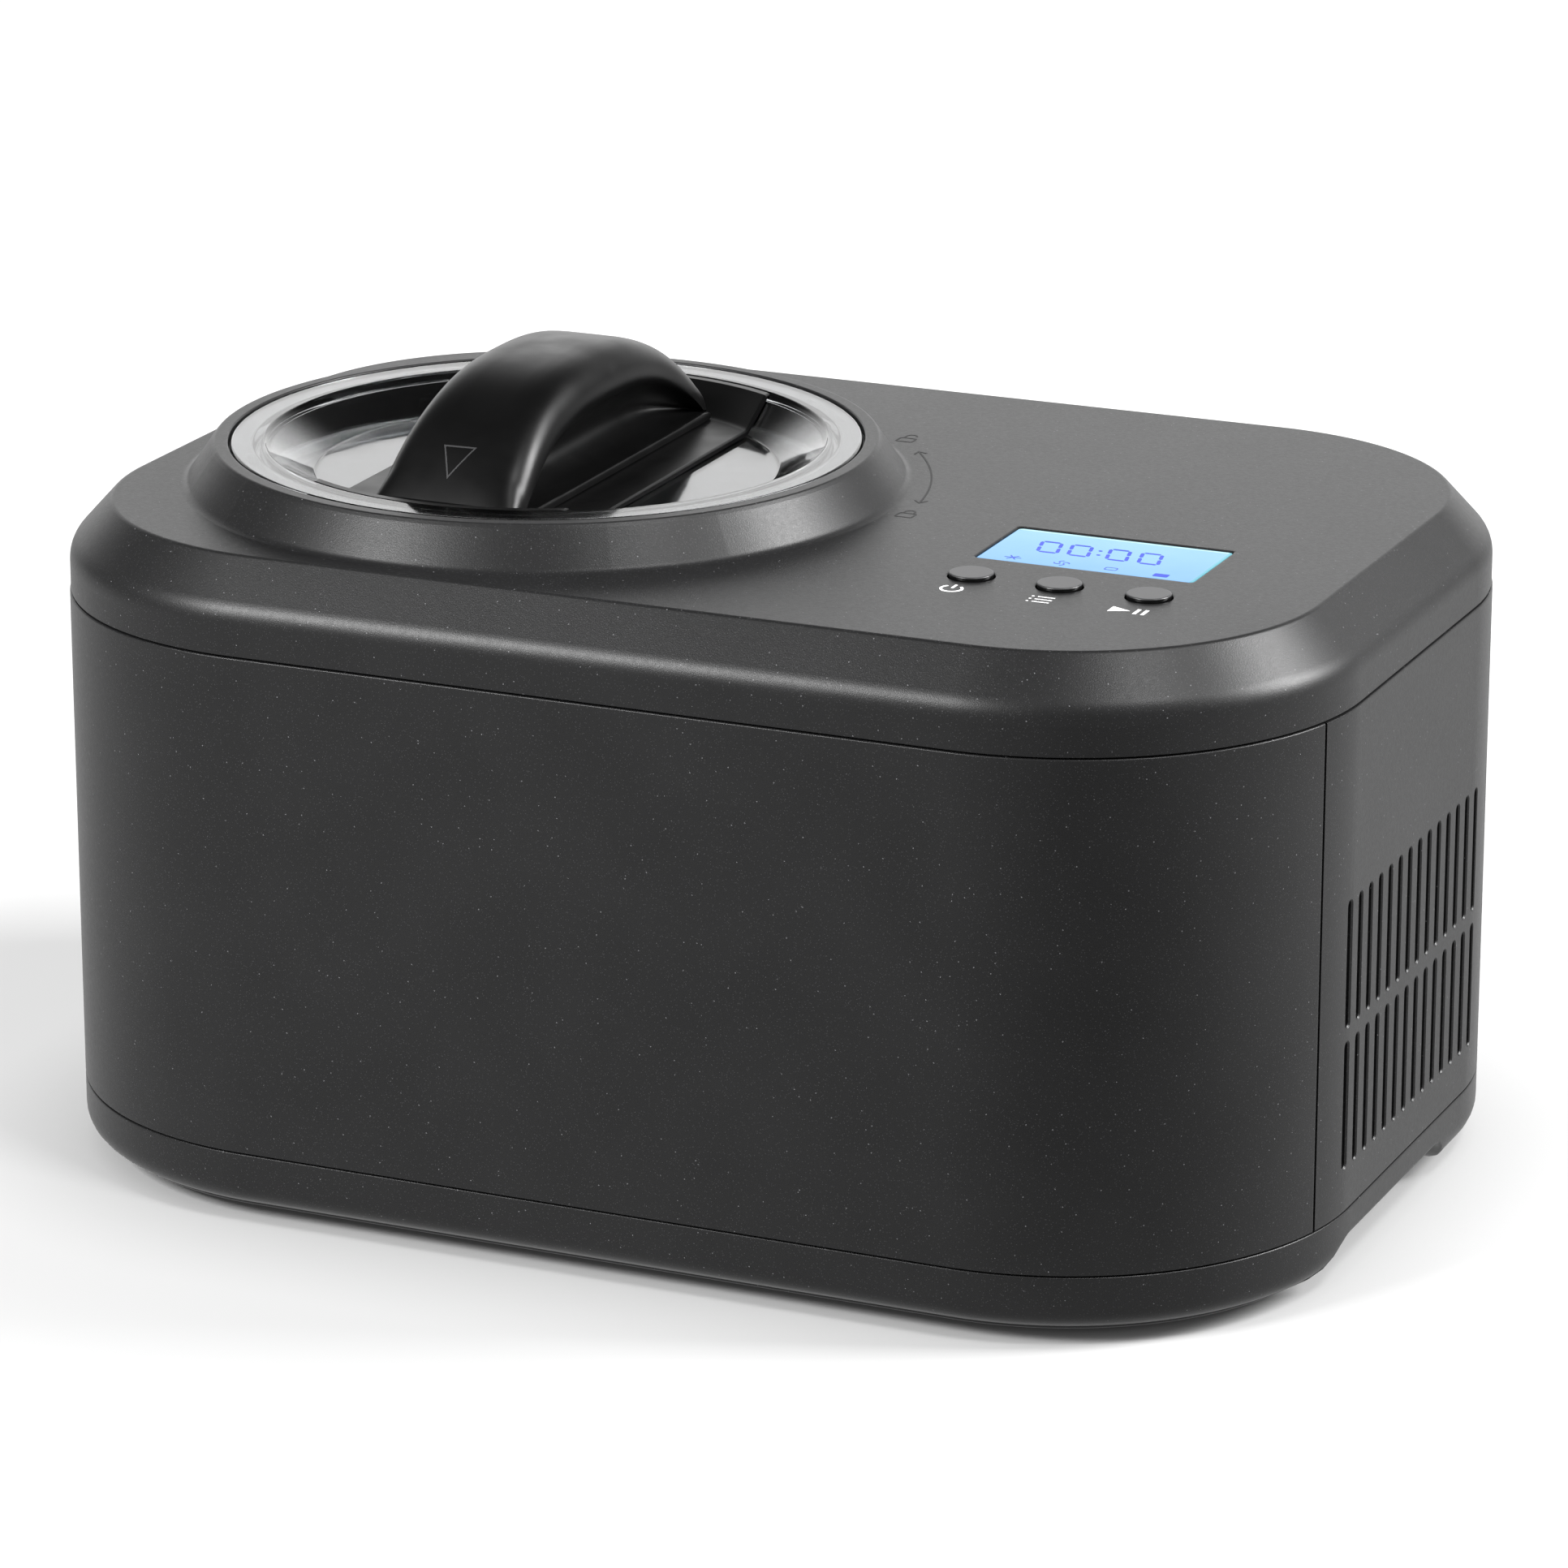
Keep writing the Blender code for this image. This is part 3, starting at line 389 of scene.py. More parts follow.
def speckled(name, dark, light, rough, scale, bump, low=0.4, high=0.6):
    n = Nodes(name)
    grain = n.noise(scale, 4.0, 0.6)
    n.set(Base_Color=n.blend(n.ramp(grain, low, high, 0.0, 1.0), dark, light),
          Roughness=n.ramp(grain, 0.3, 0.7, rough - 0.05, rough + 0.05), Normal=n.bump(grain, bump))
    return n.mat


def clear_plastic():
    """Clear moulded plastic with faint flow streaks and handling haze."""
    n = Nodes("clear_lid")
    haze = n.noise(55.0, 4.0, 0.6)
    n.set(Base_Color=n.blend(n.ramp(haze, 0.3, 0.7, 0.0, 1.0), (0.5, 0.51, 0.52), (0.56, 0.57, 0.58)),
          Roughness=n.ramp(haze, 0.35, 0.75, 0.04, 0.09), Normal=n.bump(n.noise(35.0, 2.0), 8e-5))
    n.set(IOR=1.36, Transmission_Weight=1.0, Specular_IOR_Level=0.35)
    return n.mat


def button_plastic():
    """Matt grey top and glossy side; the side's black colour is painted shade."""
    n = Nodes("button_cap")
    grain = n.noise(700.0, 3.0)
    # The side below the top edge is painted near-black as shade; its lower roughness is a real gloss.
    top = n.ramp(n.axis("Z"), 0.20385, 0.20425, 0.0, 1.0)
    n.set(Base_Color=n.blend(top, (0.003, 0.003, 0.003), n.blend(grain, grey(0.03), grey(0.036))),
          Roughness=n.ramp(top, 0.0, 1.0, 0.16, 0.42), Normal=n.bump(grain, 4e-6), Specular_IOR_Level=0.4)
    return n.mat


def lit_display():
    """Backlit panel: a little paler at the far side, with a bright far edge and a teal right edge."""
    n = Nodes("display_backlight")
    low, high = (WINDOW_MIDDLE[1] - WINDOW_HALF[1]) * MM, (WINDOW_MIDDLE[1] + WINDOW_HALF[1]) * MM
    along = n.ramp(n.axis("Y"), low, high, 0.0, 1.0)
    cloud = n.maths("ADD", along, n.ramp(n.noise(45.0, 2.0), 0.3, 0.7, -0.12, 0.12))
    colour = n.blend(cloud, (0.1, 0.36, 0.72), (0.16, 0.44, 0.74))
    right = (WINDOW_MIDDLE[0] + WINDOW_HALF[0]) * MM
    edge = n.ramp(n.axis("Y"), high - 0.0019, high - 0.0013, 0.0, 1.0)
    colour = n.blend(edge, colour, (0.55, 0.9, 0.95))
    colour = n.blend(n.ramp(n.axis("X"), right - 0.0013, right - 0.0008, 0.0, 1.0), colour, (0.03, 0.42, 0.45))
    n.set(Base_Color=n.blend(cloud, (0.05, 0.09, 0.14), (0.07, 0.12, 0.16)), Emission_Color=colour,
          Roughness=n.ramp(n.noise(120.0, 2.0), 0.3, 0.7, 0.12, 0.2))
    n.set(Emission_Strength=0.74, Specular_IOR_Level=0.06)
    return n.mat


M = {
    "body": textured_plastic("charcoal_texture", grey(0.0082), grey(0.01), 0.4, 0.24),
    "handle": satin_plastic("black_satin", grey(0.0012), grey(0.0017), 0.36, 0.18),
    # Lighter grey of the handle's triangle mark: painted highlight on its raised edges.
    "mark": satin_plastic("handle_mark_painted_highlight", grey(0.028), grey(0.036), 0.35, 0.5),
    "clear": clear_plastic(),
    "rubber": speckled("foot_rubber", grey(0.02), grey(0.03), 0.75, 700.0, 3e-5),
    "silicone": speckled("seal_silicone", (0.55, 0.56, 0.56), (0.66, 0.66, 0.65), 0.55, 300.0, 1e-5),
    "button": button_plastic(),
    "display": lit_display(),
    "lcd_frame": speckled("module_frame", (0.3, 0.45, 0.6), (0.36, 0.52, 0.68), 0.4, 200.0, 8e-6),
    "steel": brushed_metal("turned_steel", (0.42, 0.43, 0.44), (0.6, 0.6, 0.61), 0.3),
    "aluminium": brushed_metal("spun_aluminium", (0.46, 0.47, 0.48), (0.58, 0.59, 0.6), 0.36,
                               (1.0, 1.0, 22.0), 120.0),
    # Condenser fins painted near-black: painted shade for the dark space behind the side slots.
    "fins": brushed_metal("fins_painted_shade", (0.05, 0.05, 0.052), (0.09, 0.09, 0.092), 0.6),
    "copper": brushed_metal("drawn_copper", (0.6, 0.27, 0.15), (0.78, 0.4, 0.25), 0.32),
    "nylon": speckled("white_nylon", (0.62, 0.61, 0.57), (0.74, 0.73, 0.69), 0.45, 260.0, 8e-6),
    "grey_plastic": speckled("gearbox_plastic", grey(0.16), grey(0.22), 0.5, 500.0, 1.5e-5),
    "black_plastic": speckled("inlet_plastic", grey(0.012), grey(0.018), 0.42, 900.0, 1.2e-5),
    "foam": speckled("cut_foam", (0.62, 0.56, 0.4), (0.86, 0.82, 0.66), 0.9, 420.0, 2e-4),
    "board": speckled("circuit_board", (0.01, 0.09, 0.03), (0.02, 0.16, 0.06), 0.4, 140.0, 2e-5, 0.48, 0.52),
    "paint": satin_plastic("compressor_enamel", grey(0.014), grey(0.02), 0.3, 0.5, 2e-5),
    "print": speckled("pad_print", (0.72, 0.72, 0.72), (0.82, 0.82, 0.82), 0.5, 500.0, 2e-6),
    "ink": satin_plastic("display_ink", (0.05, 0.07, 0.34), (0.07, 0.09, 0.4), 0.75, 0.04),
    # Near-black strips for the engraved lock marks: painted shade in the grooves.
    "groove": speckled("groove_painted_shade", grey(0.006), grey(0.009), 0.6, 900.0, 4e-6),
}


# ---------------------------------------------------------------- housing


def lower_edge(x, y):
    """Height of the tray's lower edge: raised along both sides for the hands."""
    high, rest = 13.5, 3.5
    if abs(x) < 176.0:
        return rest
    if y < -79.0 or y > 45.0:
        return rest
    if y < -50.0:
        share = (1 - math.cos(math.pi * (y + 79.0) / 29.0)) / 2
    elif y <= 29.0:
        share = 1.0
    else:
        share = (1 + math.cos(math.pi * (y - 29.0) / 16.0)) / 2
    return rest + (high - rest) * share


def tray_outline():
    """Outline with extra stations along the sides, where the lower edge rises and falls."""
    half = HALF_Y - CORNER_R
    ys = [-half + 2 * half * k / 42 for k in range(43)]
    points = rounded_rect(HALF_X, HALF_Y, CORNER_R, CORNER_STEPS)
    out = []
    for i, (x, y) in enumerate(points):
        out.append((x, y))
        nx, ny = points[(i + 1) % len(points)]
        if abs(x - nx) < 1e-6 and abs(y - ny) > 50.0:
            run = ys[1:-1] if ny > y else ys[-2:0:-1]
            out += [(x, v) for v in run]
    return out


def inset_point(x, y, inset):
    """Moves a point of the outline inwards along the outline's normal."""
    cx = max(-(HALF_X - CORNER_R), min(HALF_X - CORNER_R, x))
    cy = max(-(HALF_Y - CORNER_R), min(HALF_Y - CORNER_R, y))
    if abs(x) > HALF_X - CORNER_R and abs(y) > HALF_Y - CORNER_R:
        away = Vector((x - cx, y - cy)).normalized()
    elif abs(x) >= HALF_X - 1e-3:
        away = Vector((math.copysign(1, x), 0))
    else:
        away = Vector((0, math.copysign(1, y)))
    return x - away.x * inset, y - away.y * inset


def base_tray():
    bm = bmesh.new()
    stations = tray_outline()
    curve = rounded([(0.0, TRAY_TOP, 0.0), (0.0, 8.0, 11.0), (9.0, 3.5, 0.0)], closed=False, turn=7.0)

    def curve_inset(z):
        for (a, za), (b, zb) in zip(curve, curve[1:]):
            if zb <= z <= za:
                return a + (b - a) * (za - z) / max(za - zb, 1e-6)
        return curve[-1][0]

    edge = 1.1
    shoulder = 21.0
    rim_profile = [(5.9, TRAY_TOP), (5.9, 26.6), (5.7, 26.8), (4.5, 26.8), (4.3, 26.6), (4.3, TRAY_TOP),
                   (0.9, TRAY_TOP), (0.45, TRAY_TOP), (0.2, 21.93), (0.06, 21.78), (0.0, 21.5), (0.0, shoulder)]
    columns = []
    for x, y in stations:
        low = lower_edge(x, y)
        profile = list(rim_profile)
        top = low + edge
        for k in range(1, 13):
            z = shoulder + (top - shoulder) * k / 12
            profile.append((curve_inset(z), z))
        start = curve_inset(top)
        for k in range(1, 6):
            angle = k / 5 * math.pi / 2
            profile.append((start + edge * 1.2 * (1 - math.cos(angle)), top - edge * math.sin(angle)))
        profile += [(start + edge * 1.2 + 0.6, low), (26.0, low), (26.5, min(low, 3.4 + 0.8 * (low - 3.5))),
                    (26.5, 3.3)]
        columns.append([(*inset_point(x, y, inset), z) for inset, z in profile])
    rows = [add_ring(bm, [column[i] for column in columns]) for i in range(len(columns[0]))]
    skin(bm, rows)
    bm.faces.new(rows[-1][::-1])
    rim = []
    for z in (TRAY_TOP, TRAY_FLOOR):
        ring = []
        for x, y in stations:
            px, py = inset_point(x, y, 9.0)
            ring.append(bm.verts.new((px * 172.0 / 193.5, py * 134.5 / 133.5 * 0.985, z)))
        rim.append(ring)
    skin(bm, [rows[0], rim[0], rim[1]])
    bm.faces.new(rim[1])
    for x, y in GEARBOX_POSTS:
        turned([(0.0, 6.5), (4.0, 6.5), (4.0, 34.8), (3.6, 35.2), (0.0, 35.2)], 24, x, y, bm)
    place("base_tray_moulding", bm, M["body"], "housing", ("base_tray",))


def foot(index, sx, sy):
    profile = rounded([(0.0, 0.0, 0.0), (9.4, 0.0, 0.8), (9.4, 3.2, 0.5), (0.0, 3.2, 0.0)],
                      turn=15.0, support=0.2)
    bm = turned(profile, 64, sx * FOOT_XY[0], sy * FOOT_XY[1])
    place(f"rubber_foot_{index}", bm, M["rubber"], "housing", (f"foot_{index}",))


def wrap_panel(name, node, front):
    """Sheet from seam to seam round the front or the rear, with softened edges all round."""
    sign = -1 if front else 1
    cx, cy = HALF_X - CORNER_R, sign * (HALF_Y - CORNER_R)
    start = (SEAM_DEG + SEAM_GAP_DEG) * sign
    angles = [start + (sign * 90.0 - start) * k / CORNER_STEPS for k in range(CORNER_STEPS + 1)]
    lead = [start + sign * extra / CORNER_R / DEG for extra in (0.0, 0.06, 0.2, 0.42, 0.9)]
    angles = lead + [a for a in angles if abs(a) > abs(lead[-1]) + 0.5]
    right = [(cx, cy, a) for a in angles]
    left = [(-cx, cy, 180.0 - a) for a in reversed(angles)]
    soften = {0: 0.42, 1: 0.2, 2: 0.08, 3: 0.0}
    stations = right + left
    section = rounded([(0.0, PANEL_Z[0], 0.42), (0.0, PANEL_Z[1], 0.42), (WALL, PANEL_Z[1], 0.2),
                       (WALL, PANEL_Z[0], 0.2)], turn=20.0, support=0.6)
    bm = bmesh.new()
    rings = []
    for i, (ox, oy, a) in enumerate(stations):
        extra = soften.get(min(i, len(stations) - 1 - i), 0.0)
        ring = []
        for inset, z in section:
            inner = inset + (extra if inset < 1.0 else 0.0)
            reach = CORNER_R - inner
            ring.append((ox + reach * math.cos(a * DEG), oy + reach * math.sin(a * DEG), z))
        rings.append(add_ring(bm, ring))
    skin(bm, rings)
    bm.faces.new(rings[0][::-1])
    bm.faces.new(rings[-1])
    piece = place(name, bm, M["body"], "housing", (node,), weighted=front)
    if not front:
        x0, x1 = INLET_X
        cut(piece, prism(bmesh.new(), [(x0, 130.0), (x1, 130.0), (x1, 150.0), (x0, 150.0)], *INLET_Z))


def cut(piece, tool):
    """Cuts a closed shape out of a piece and keeps the result as its mesh."""
    bmesh.ops.recalc_face_normals(tool, faces=tool.faces[:])
    bmesh.ops.scale(tool, verts=tool.verts[:], vec=(MM, MM, MM))
    mesh = bpy.data.meshes.new("tool")
    tool.to_mesh(mesh)
    tool.free()
    block = bpy.data.objects.new("tool", mesh)
    bpy.context.scene.collection.objects.link(block)
    modifier = piece.modifiers.new("cut", "BOOLEAN")
    modifier.operation = "DIFFERENCE"
    modifier.solver = "EXACT"
    modifier.object = block
    bpy.context.view_layer.update()
    graph = bpy.context.evaluated_depsgraph_get()
    mesh = bpy.data.meshes.new_from_object(piece.evaluated_get(graph))
    piece.modifiers.clear()
    piece.data = mesh
    mesh.shade_smooth()
    mesh.set_sharp_from_angle(angle=SHARP_DEG * DEG)
    even_normals(piece)
    bpy.data.objects.remove(block, do_unlink=True)


def slot_loop(y, low, high, grow, steps=9):
    half = SLOT_WIDTH / 2
    points = []
    for k in range(steps + 1):
        a = math.pi * k / steps
        points.append((y + (half + grow) * math.cos(a), high - half + (half + grow) * math.sin(a)))
    for k in range(steps + 1):
        a = math.pi + math.pi * k / steps
        points.append((y + (half + grow) * math.cos(a), low + half + (half + grow) * math.sin(a)))
    return points


def vent_panel(name, node, side):
    """Side sheet with two rows of chamfered upright slots and a tongue behind each neighbour."""
    seam = SEAM_DEG - SEAM_GAP_DEG
    cx, cy = HALF_X - CORNER_R, HALF_Y - CORNER_R

    def run(inset, a, b, rear, steps):
        return arc(cx, cy if rear else -cy, CORNER_R - inset, a, b, steps)

    outline = run(0.0, -seam, 0.0, False, 8) + run(0.0, 0.0, seam, True, 8)
    outline += run(2.7, seam, 22.0, True, 3) + run(3.9, 22.0, 12.0, True, 3)
    outline += run(WALL, 12.0, 0.0, True, 4) + run(WALL, 0.0, -12.0, False, 4)
    outline += run(3.9, -12.0, -22.0, False, 3) + run(2.7, -22.0, -seam, False, 3)
    bm = bmesh.new()
    rows = []
    flat = [(side * x, y) for x, y in outline]
    soften = ((0.0, 0.4), (0.15, 0.12), (0.4, 0.0), (0.9, 0.0))
    levels = [(PANEL_Z[0] + rise, grow) for rise, grow in soften]
    levels += [(PANEL_Z[1] - rise, grow) for rise, grow in reversed(soften)]
    for z, grow in levels:
        ring = []
        for x, y in flat:
            face = abs(Vector((abs(x) - cx, max(abs(y) - cy, 0.0))).length - CORNER_R) < 0.05
            if face and grow:
                x -= side * grow
            ring.append(bm.verts.new((x, y, z)))
        rows.append(ring)
    skin(bm, rows)
    bm.faces.new(rows[0][::-1])
    bm.faces.new(rows[-1])
    piece = place(name, bm, M["body"], "housing", (node,), weighted=False)
    tool = bmesh.new()
    for low, high in SLOT_ROWS:
        for k in range(SLOT_COUNT):
            y = (k - (SLOT_COUNT - 1) / 2) * SLOT_PITCH
            beyond = max(abs(y) - cy, 0.0)
            face = cx + math.sqrt(CORNER_R ** 2 - beyond ** 2)
            rings = []
            for x, grow in ((192.0, 0.0), (face - 0.45, 0.0), (face + 0.15, 0.6), (face + 3.0, 0.6)):
                rings.append(add_ring(tool, [(side * x, u, z) for u, z in slot_loop(y, low, high, grow)]))
            skin(tool, rings)
            tool.faces.new(rings[0][::-1])
            tool.faces.new(rings[-1])
    cut(piece, tool)


def collar_column(notched):
    """Outline (radius, z) of the collar from the foot of its flare, over the rim and down to the ceiling."""
    ledge = 92.1 if notched else 89.4
    outside = rounded([(112.6, DECK_Z, 0.0), (109.2, DECK_Z, 3.2), (101.3, 214.8, 1.5), (100.3, 216.0, 1.0),
                       (96.1, 216.0, 0.55), (96.1, 213.2, 0.0)], closed=False, turn=10.0, support=0.4)
    inside = [(ledge, 213.2), (ledge, 206.0), (92.6, 205.8), (92.6, 196.9), (85.8, 196.9), (85.8, 193.5),
              (97.0, 193.5), (105.0, 198.0), (108.4, CEILING_Z)]
    return outside + inside


def top_cover():
    """Shoulder, deck, raised collar, display opening and button holes as one closed skin."""
    bm = bmesh.new()
    outside = rounded([(4.3, COVER_SKIRT_Z, 0.2), (4.3, COVER_EDGE_Z, 0.2), (0.3, COVER_EDGE_Z, 0.4),
                       (0.3, 189.1, 10.3), (13.15, DECK_Z, 1.9), (18.0, DECK_Z, 0.0)],
                      closed=False, turn=5.0, support=0.4)
    outside = outside[:-1] + [(15.4, DECK_Z)]
    rows = [body_ring(bm, inset, z) for inset, z in outside]
    inside = ((5.9, COVER_SKIRT_Z), (5.9, 179.0), (3.6, 180.2), (3.6, 188.8), (14.8, CEILING_Z))
    inner = [body_ring(bm, inset, z) for inset, z in inside]
    skin(bm, rows)
    skin(bm, [inner[-1], inner[-2], inner[-3], inner[-4], inner[0], rows[0]])
    # collar
    angles = [360.0 * k / LID_STEPS for k in range(LID_STEPS)]
    for middle in LUG_MIDDLES:
        for edge in (middle - NOTCH_HALF_DEG, middle + NOTCH_HALF_DEG):
            angles += [edge - 0.05, edge + 0.05]
    angles.sort()
    plain, notched = collar_column(False), collar_column(True)
    columns = []
    for angle in angles:
        off = abs((angle % 90.0) - 45.0)
        profile = notched if off < NOTCH_HALF_DEG else plain
        c, s = math.cos(angle * DEG), math.sin(angle * DEG)
        columns.append([(LID[0] + r * c, LID[1] + r * s, z) for r, z in profile])
    collar = [add_ring(bm, [column[i] for column in columns]) for i in range(len(plain))]
    skin(bm, collar)
    # openings
    tops, bottoms = [collar[0]], [collar[-1]]
    window = rounded_rect(WINDOW_HALF[0] + 0.3, WINDOW_HALF[1] + 0.3, 1.5, 6, *WINDOW_MIDDLE)
    holes = [arc(x, BUTTON_Y, 7.0, 0.0, 352.5, 47) for _, _, x in BUTTONS]
    for shape in [window] + holes:
        mx = sum(p[0] for p in shape) / len(shape)
        my = sum(p[1] for p in shape) / len(shape)

        def grown(amount):
            out = []
            for x, y in shape:
                d = Vector((x - mx, y - my))
                if shape is window:
                    out.append((x + math.copysign(amount, d.x), y + math.copysign(amount, d.y)))
                else:
                    d.normalize()
                    out.append((x + d.x * amount, y + d.y * amount))
            return out

        rings = []
        for amount, z in ((0.9, DECK_Z), (0.45, DECK_Z), (0.2, DECK_Z - 0.06), (0.05, DECK_Z - 0.2),
                          (0.0, DECK_Z - 0.45), (0.0, CEILING_Z)):
            rings.append(add_ring(bm, [(x, y, z) for x, y in grown(amount)]))
        skin(bm, rings)
        tops.append(rings[0])
        bottoms.append(rings[-1])
    fill(bm, [rows[-1]] + tops)
    fill(bm, [inner[-1]] + bottoms)
    place("top_cover_moulding", bm, M["body"], "housing", ("top_cover",))


# ---------------------------------------------------------------- lid


def lid_dish():
    profile = rounded([
        (0.0, 206.0, 0.0), (70.1, 206.0, 1.6), (84.5, 215.0, 2.0), (85.2, 215.7, 1.2), (95.5, 215.7, 1.3),
        (95.5, 213.5, 0.2), (88.4, 213.5, 0.3), (88.4, 201.2, 0.5), (86.2, 201.2, 0.5), (86.2, 212.1, 0.5),
        (84.2, 212.1, 1.0), (71.4, 204.0, 1.6), (0.0, 204.0, 0.0),
    ], turn=15.0, support=0.3)
    bm = turned(profile, LID_STEPS, *LID)
    for middle in LUG_MIDDLES:
        low, high = middle - LUG_HALF_DEG, middle + LUG_HALF_DEG
        prism(bm, arc(*LID, 91.6, low, high, 10) + arc(*LID, 88.2, high, low, 10), 202.0, 205.6)
    place("clear_lid_dish", bm, M["clear"], "lid", ("lid_dish",))


def band_top(r):
    if r < 69.0:
        return 207.9
    if r < 71.0:
        return 207.9 + 0.152 * (r - 69.0) ** 2
    if r < 82.0:
        return 208.508 + (r - 71.0) * 0.6447
    return 215.6


def band_bottom(r):
    if r < 69.5:
        return 206.3
    return 206.3 + max(0.0, r - 70.05) * 0.6352


def lid_band():
    """Black strip laid in the dish, up both slopes to the rim."""
    radii = [84.4, 83.2, 82.2, 82.0, 81.6, 80.0, 77.0, 74.0, 72.0, 71.0, 70.5, 70.0, 69.5, 69.0, 68.6, 66.0,
             58.0]
    xs = [-BAND_HALF, -40.6, -40.0] + [-40.0 + 80.0 * k / 24 for k in range(1, 24)] + [40.0, 40.6, BAND_HALF]
    bm = bmesh.new()
    top, bottom = [], []
    for x in xs:
        drop = 0.4 if abs(x) > 40.9 else (0.1 if abs(x) > 40.5 else 0.0)
        ys = [-math.sqrt(r * r - x * x) for r in radii]
        run = ys + [ys[-1] * share for share in (0.6, 0.2, -0.2, -0.6)] + [-y for y in reversed(ys)]
        upper, lower = [], []
        for y in run:
            r = math.hypot(x, y)
            upper.append(bm.verts.new((LID[0] + x, LID[1] + y, band_top(r) - drop)))
            lower.append(bm.verts.new((LID[0] + x, LID[1] + y, min(band_bottom(r), band_top(r) - drop - 0.15))))
        top.append(upper)
        bottom.append(lower)
    skin(bm, top, wrap_around=False)
    skin(bm, bottom, wrap_around=False)

    def border(grid):
        ends = [row[-1] for row in reversed(grid[:-1])]
        return [row[0] for row in grid] + grid[-1][1:] + ends + grid[0][-2:0:-1]

    skin(bm, [border(top), border(bottom)])
    place("lid_band_strip", bm, M["handle"], "lid", ("lid_band",))


HANDLE_LENGTH = 76.0
HANDLE_SEAT = 208.2
HANDLE_END_Z = 208.48
HANDLE_RISE = 34.9
HANDLE_HALF_WIDTH = 21.6
HANDLE_FOOT = 25.3
HANDLE_REACH = 70.2


def handle_top(u):
    return HANDLE_END_Z + HANDLE_RISE * (1 - min(1.0, abs(u / HANDLE_LENGTH)) ** 2.7)


def smooth_step(t):
    t = max(0.0, min(1.0, t))
    return t * t * (3 - 2 * t)


def handle_half(u):
    """Right half of the cross-section, from the crown down to the foot, as smooth control points."""
    top = max(handle_top(u), HANDLE_SEAT + 3.0)
    rise = top - HANDLE_SEAT
    k = min(1.0, rise / 14.0)
    deep = 11.0 * smooth_step((rise - 6.0) / 24.0)
    wide = HANDLE_HALF_WIDTH + 2.0 * smooth_step((abs(u) - 30.0) / 40.0)
    step = HANDLE_SEAT + min(2.4, 0.15 * rise)
    shoulder = ((0.0, 0.0), (5.0, 0.0), (9.0, 0.05), (13.0, 0.5), (16.4, 1.7), (19.0, 4.0), (20.7, 7.1),
                (21.5, 11.0))
    scoop = ((0.06, 0.12), (0.3, 0.25), (0.62, 0.4), (0.9, 0.55), (1.0, 0.68), (0.9, 0.82), (0.6, 0.93),
             (0.25, 0.99))
    brow = top - 11.0 * k
    points = [(v * wide / HANDLE_HALF_WIDTH, top - drop * k) for v, drop in shoulder]
    points += [(wide - inward * deep, brow + (step - brow) * down) for inward, down in scoop]
    points += [(24.3, step), (25.0, step - 0.12 * (step - HANDLE_SEAT)),
               (HANDLE_FOOT, step - 0.4 * (step - HANDLE_SEAT)), (HANDLE_FOOT, HANDLE_SEAT)]
    return points


def spline(points, per_leg):
    ends = [points[0]] + points + [points[-1]]
    out = []
    for a, b, c, d in zip(ends, ends[1:], ends[2:], ends[3:]):
        for k in range(per_leg):
            t = k / per_leg
            out.append(tuple(
                0.5 * (2 * q + (r - p) * t + (2 * p - 5 * q + 4 * r - s) * t * t
                       + (3 * q - p - 3 * r + s) * t ** 3)
                for p, q, r, s in zip(a, b, c, d)))
    out.append(points[-1])
    return out


def lid_handle():
    """Arched grip with a soft edge and a finger scoop on each side, standing in the dish."""
    bm = bmesh.new()
    stations = 110
    rings = []
    for k in range(stations + 1):
        u = -0.985 * HANDLE_LENGTH * math.cos(math.pi * k / stations)
        half = spline(handle_half(u), 4)
        ring = []
        for v, z in half + [(-v, z) for v, z in half[:0:-1]]:
            r = math.hypot(v, u)
            reach = HANDLE_REACH + 7.0 * smooth_step(-u / 40.0)
            near = reach - 1.1 * math.log1p(math.exp((reach - r) / 1.1))
            pull = near / r
            floor = HANDLE_SEAT + max(0.0, near - 69.2) * 0.66
            ring.append(bm.verts.new((LID[0] + v * pull, LID[1] + u * pull, max(z, floor))))
        rings.append(ring)
    skin(bm, rings)
    bm.faces.new(rings[0][::-1])
    bm.faces.new(rings[-1])
    bmesh.ops.remove_doubles(bm, verts=bm.verts[:], dist=0.004)
    place("arched_handle", bm, M["handle"], "lid", ("lid_handle",), sharp=50.0)


def lid_seal():
    profile = rounded([(84.9, 197.2, 0.6), (88.2, 197.2, 0.6), (88.2, 199.6, 0.6), (87.2, 200.9, 0.5),
                       (84.9, 200.9, 0.6)], turn=20.0, support=0.2)
    ring = turned(profile, LID_STEPS, *LID)
    place("lid_seal_ring", ring, M["silicone"], "lid_ring", ("lid_seal",))


# ---------------------------------------------------------------- controls


def controls():
    bm = bmesh.new()
    mx, my = WINDOW_MIDDLE
    rings = []
    for inset, z in ((0.0, 201.0), (0.0, 202.5), (0.12, 202.75), (0.4, 202.85), (1.0, 202.85)):
        outline = rounded_rect(WINDOW_HALF[0] - inset, WINDOW_HALF[1] - inset, 1.2, 6, mx, my)
        rings.append(add_ring(bm, [(x, y, z) for x, y in outline]))
    skin(bm, rings)
    bm.faces.new(rings[0][::-1])
    bm.faces.new(rings[-1])
    place("display_panel", bm, M["display"], "housing", ("display_window",))
    for name, body, x in BUTTONS:
        profile = rounded([(0.0, BUTTON_TOP, 0.0), (6.5, BUTTON_TOP, 0.45), (6.5, 200.1, 0.1),
                           (8.4, 200.1, 0.2), (8.4, 198.5, 0.2), (2.2, 198.5, 0.1), (2.2, 197.0, 0.1),
                           (0.0, 197.0, 0.0)], turn=15.0, support=0.15)
        place(f"{name}_cap", turned(profile, 72, x, BUTTON_Y), M["button"], body, (name,))


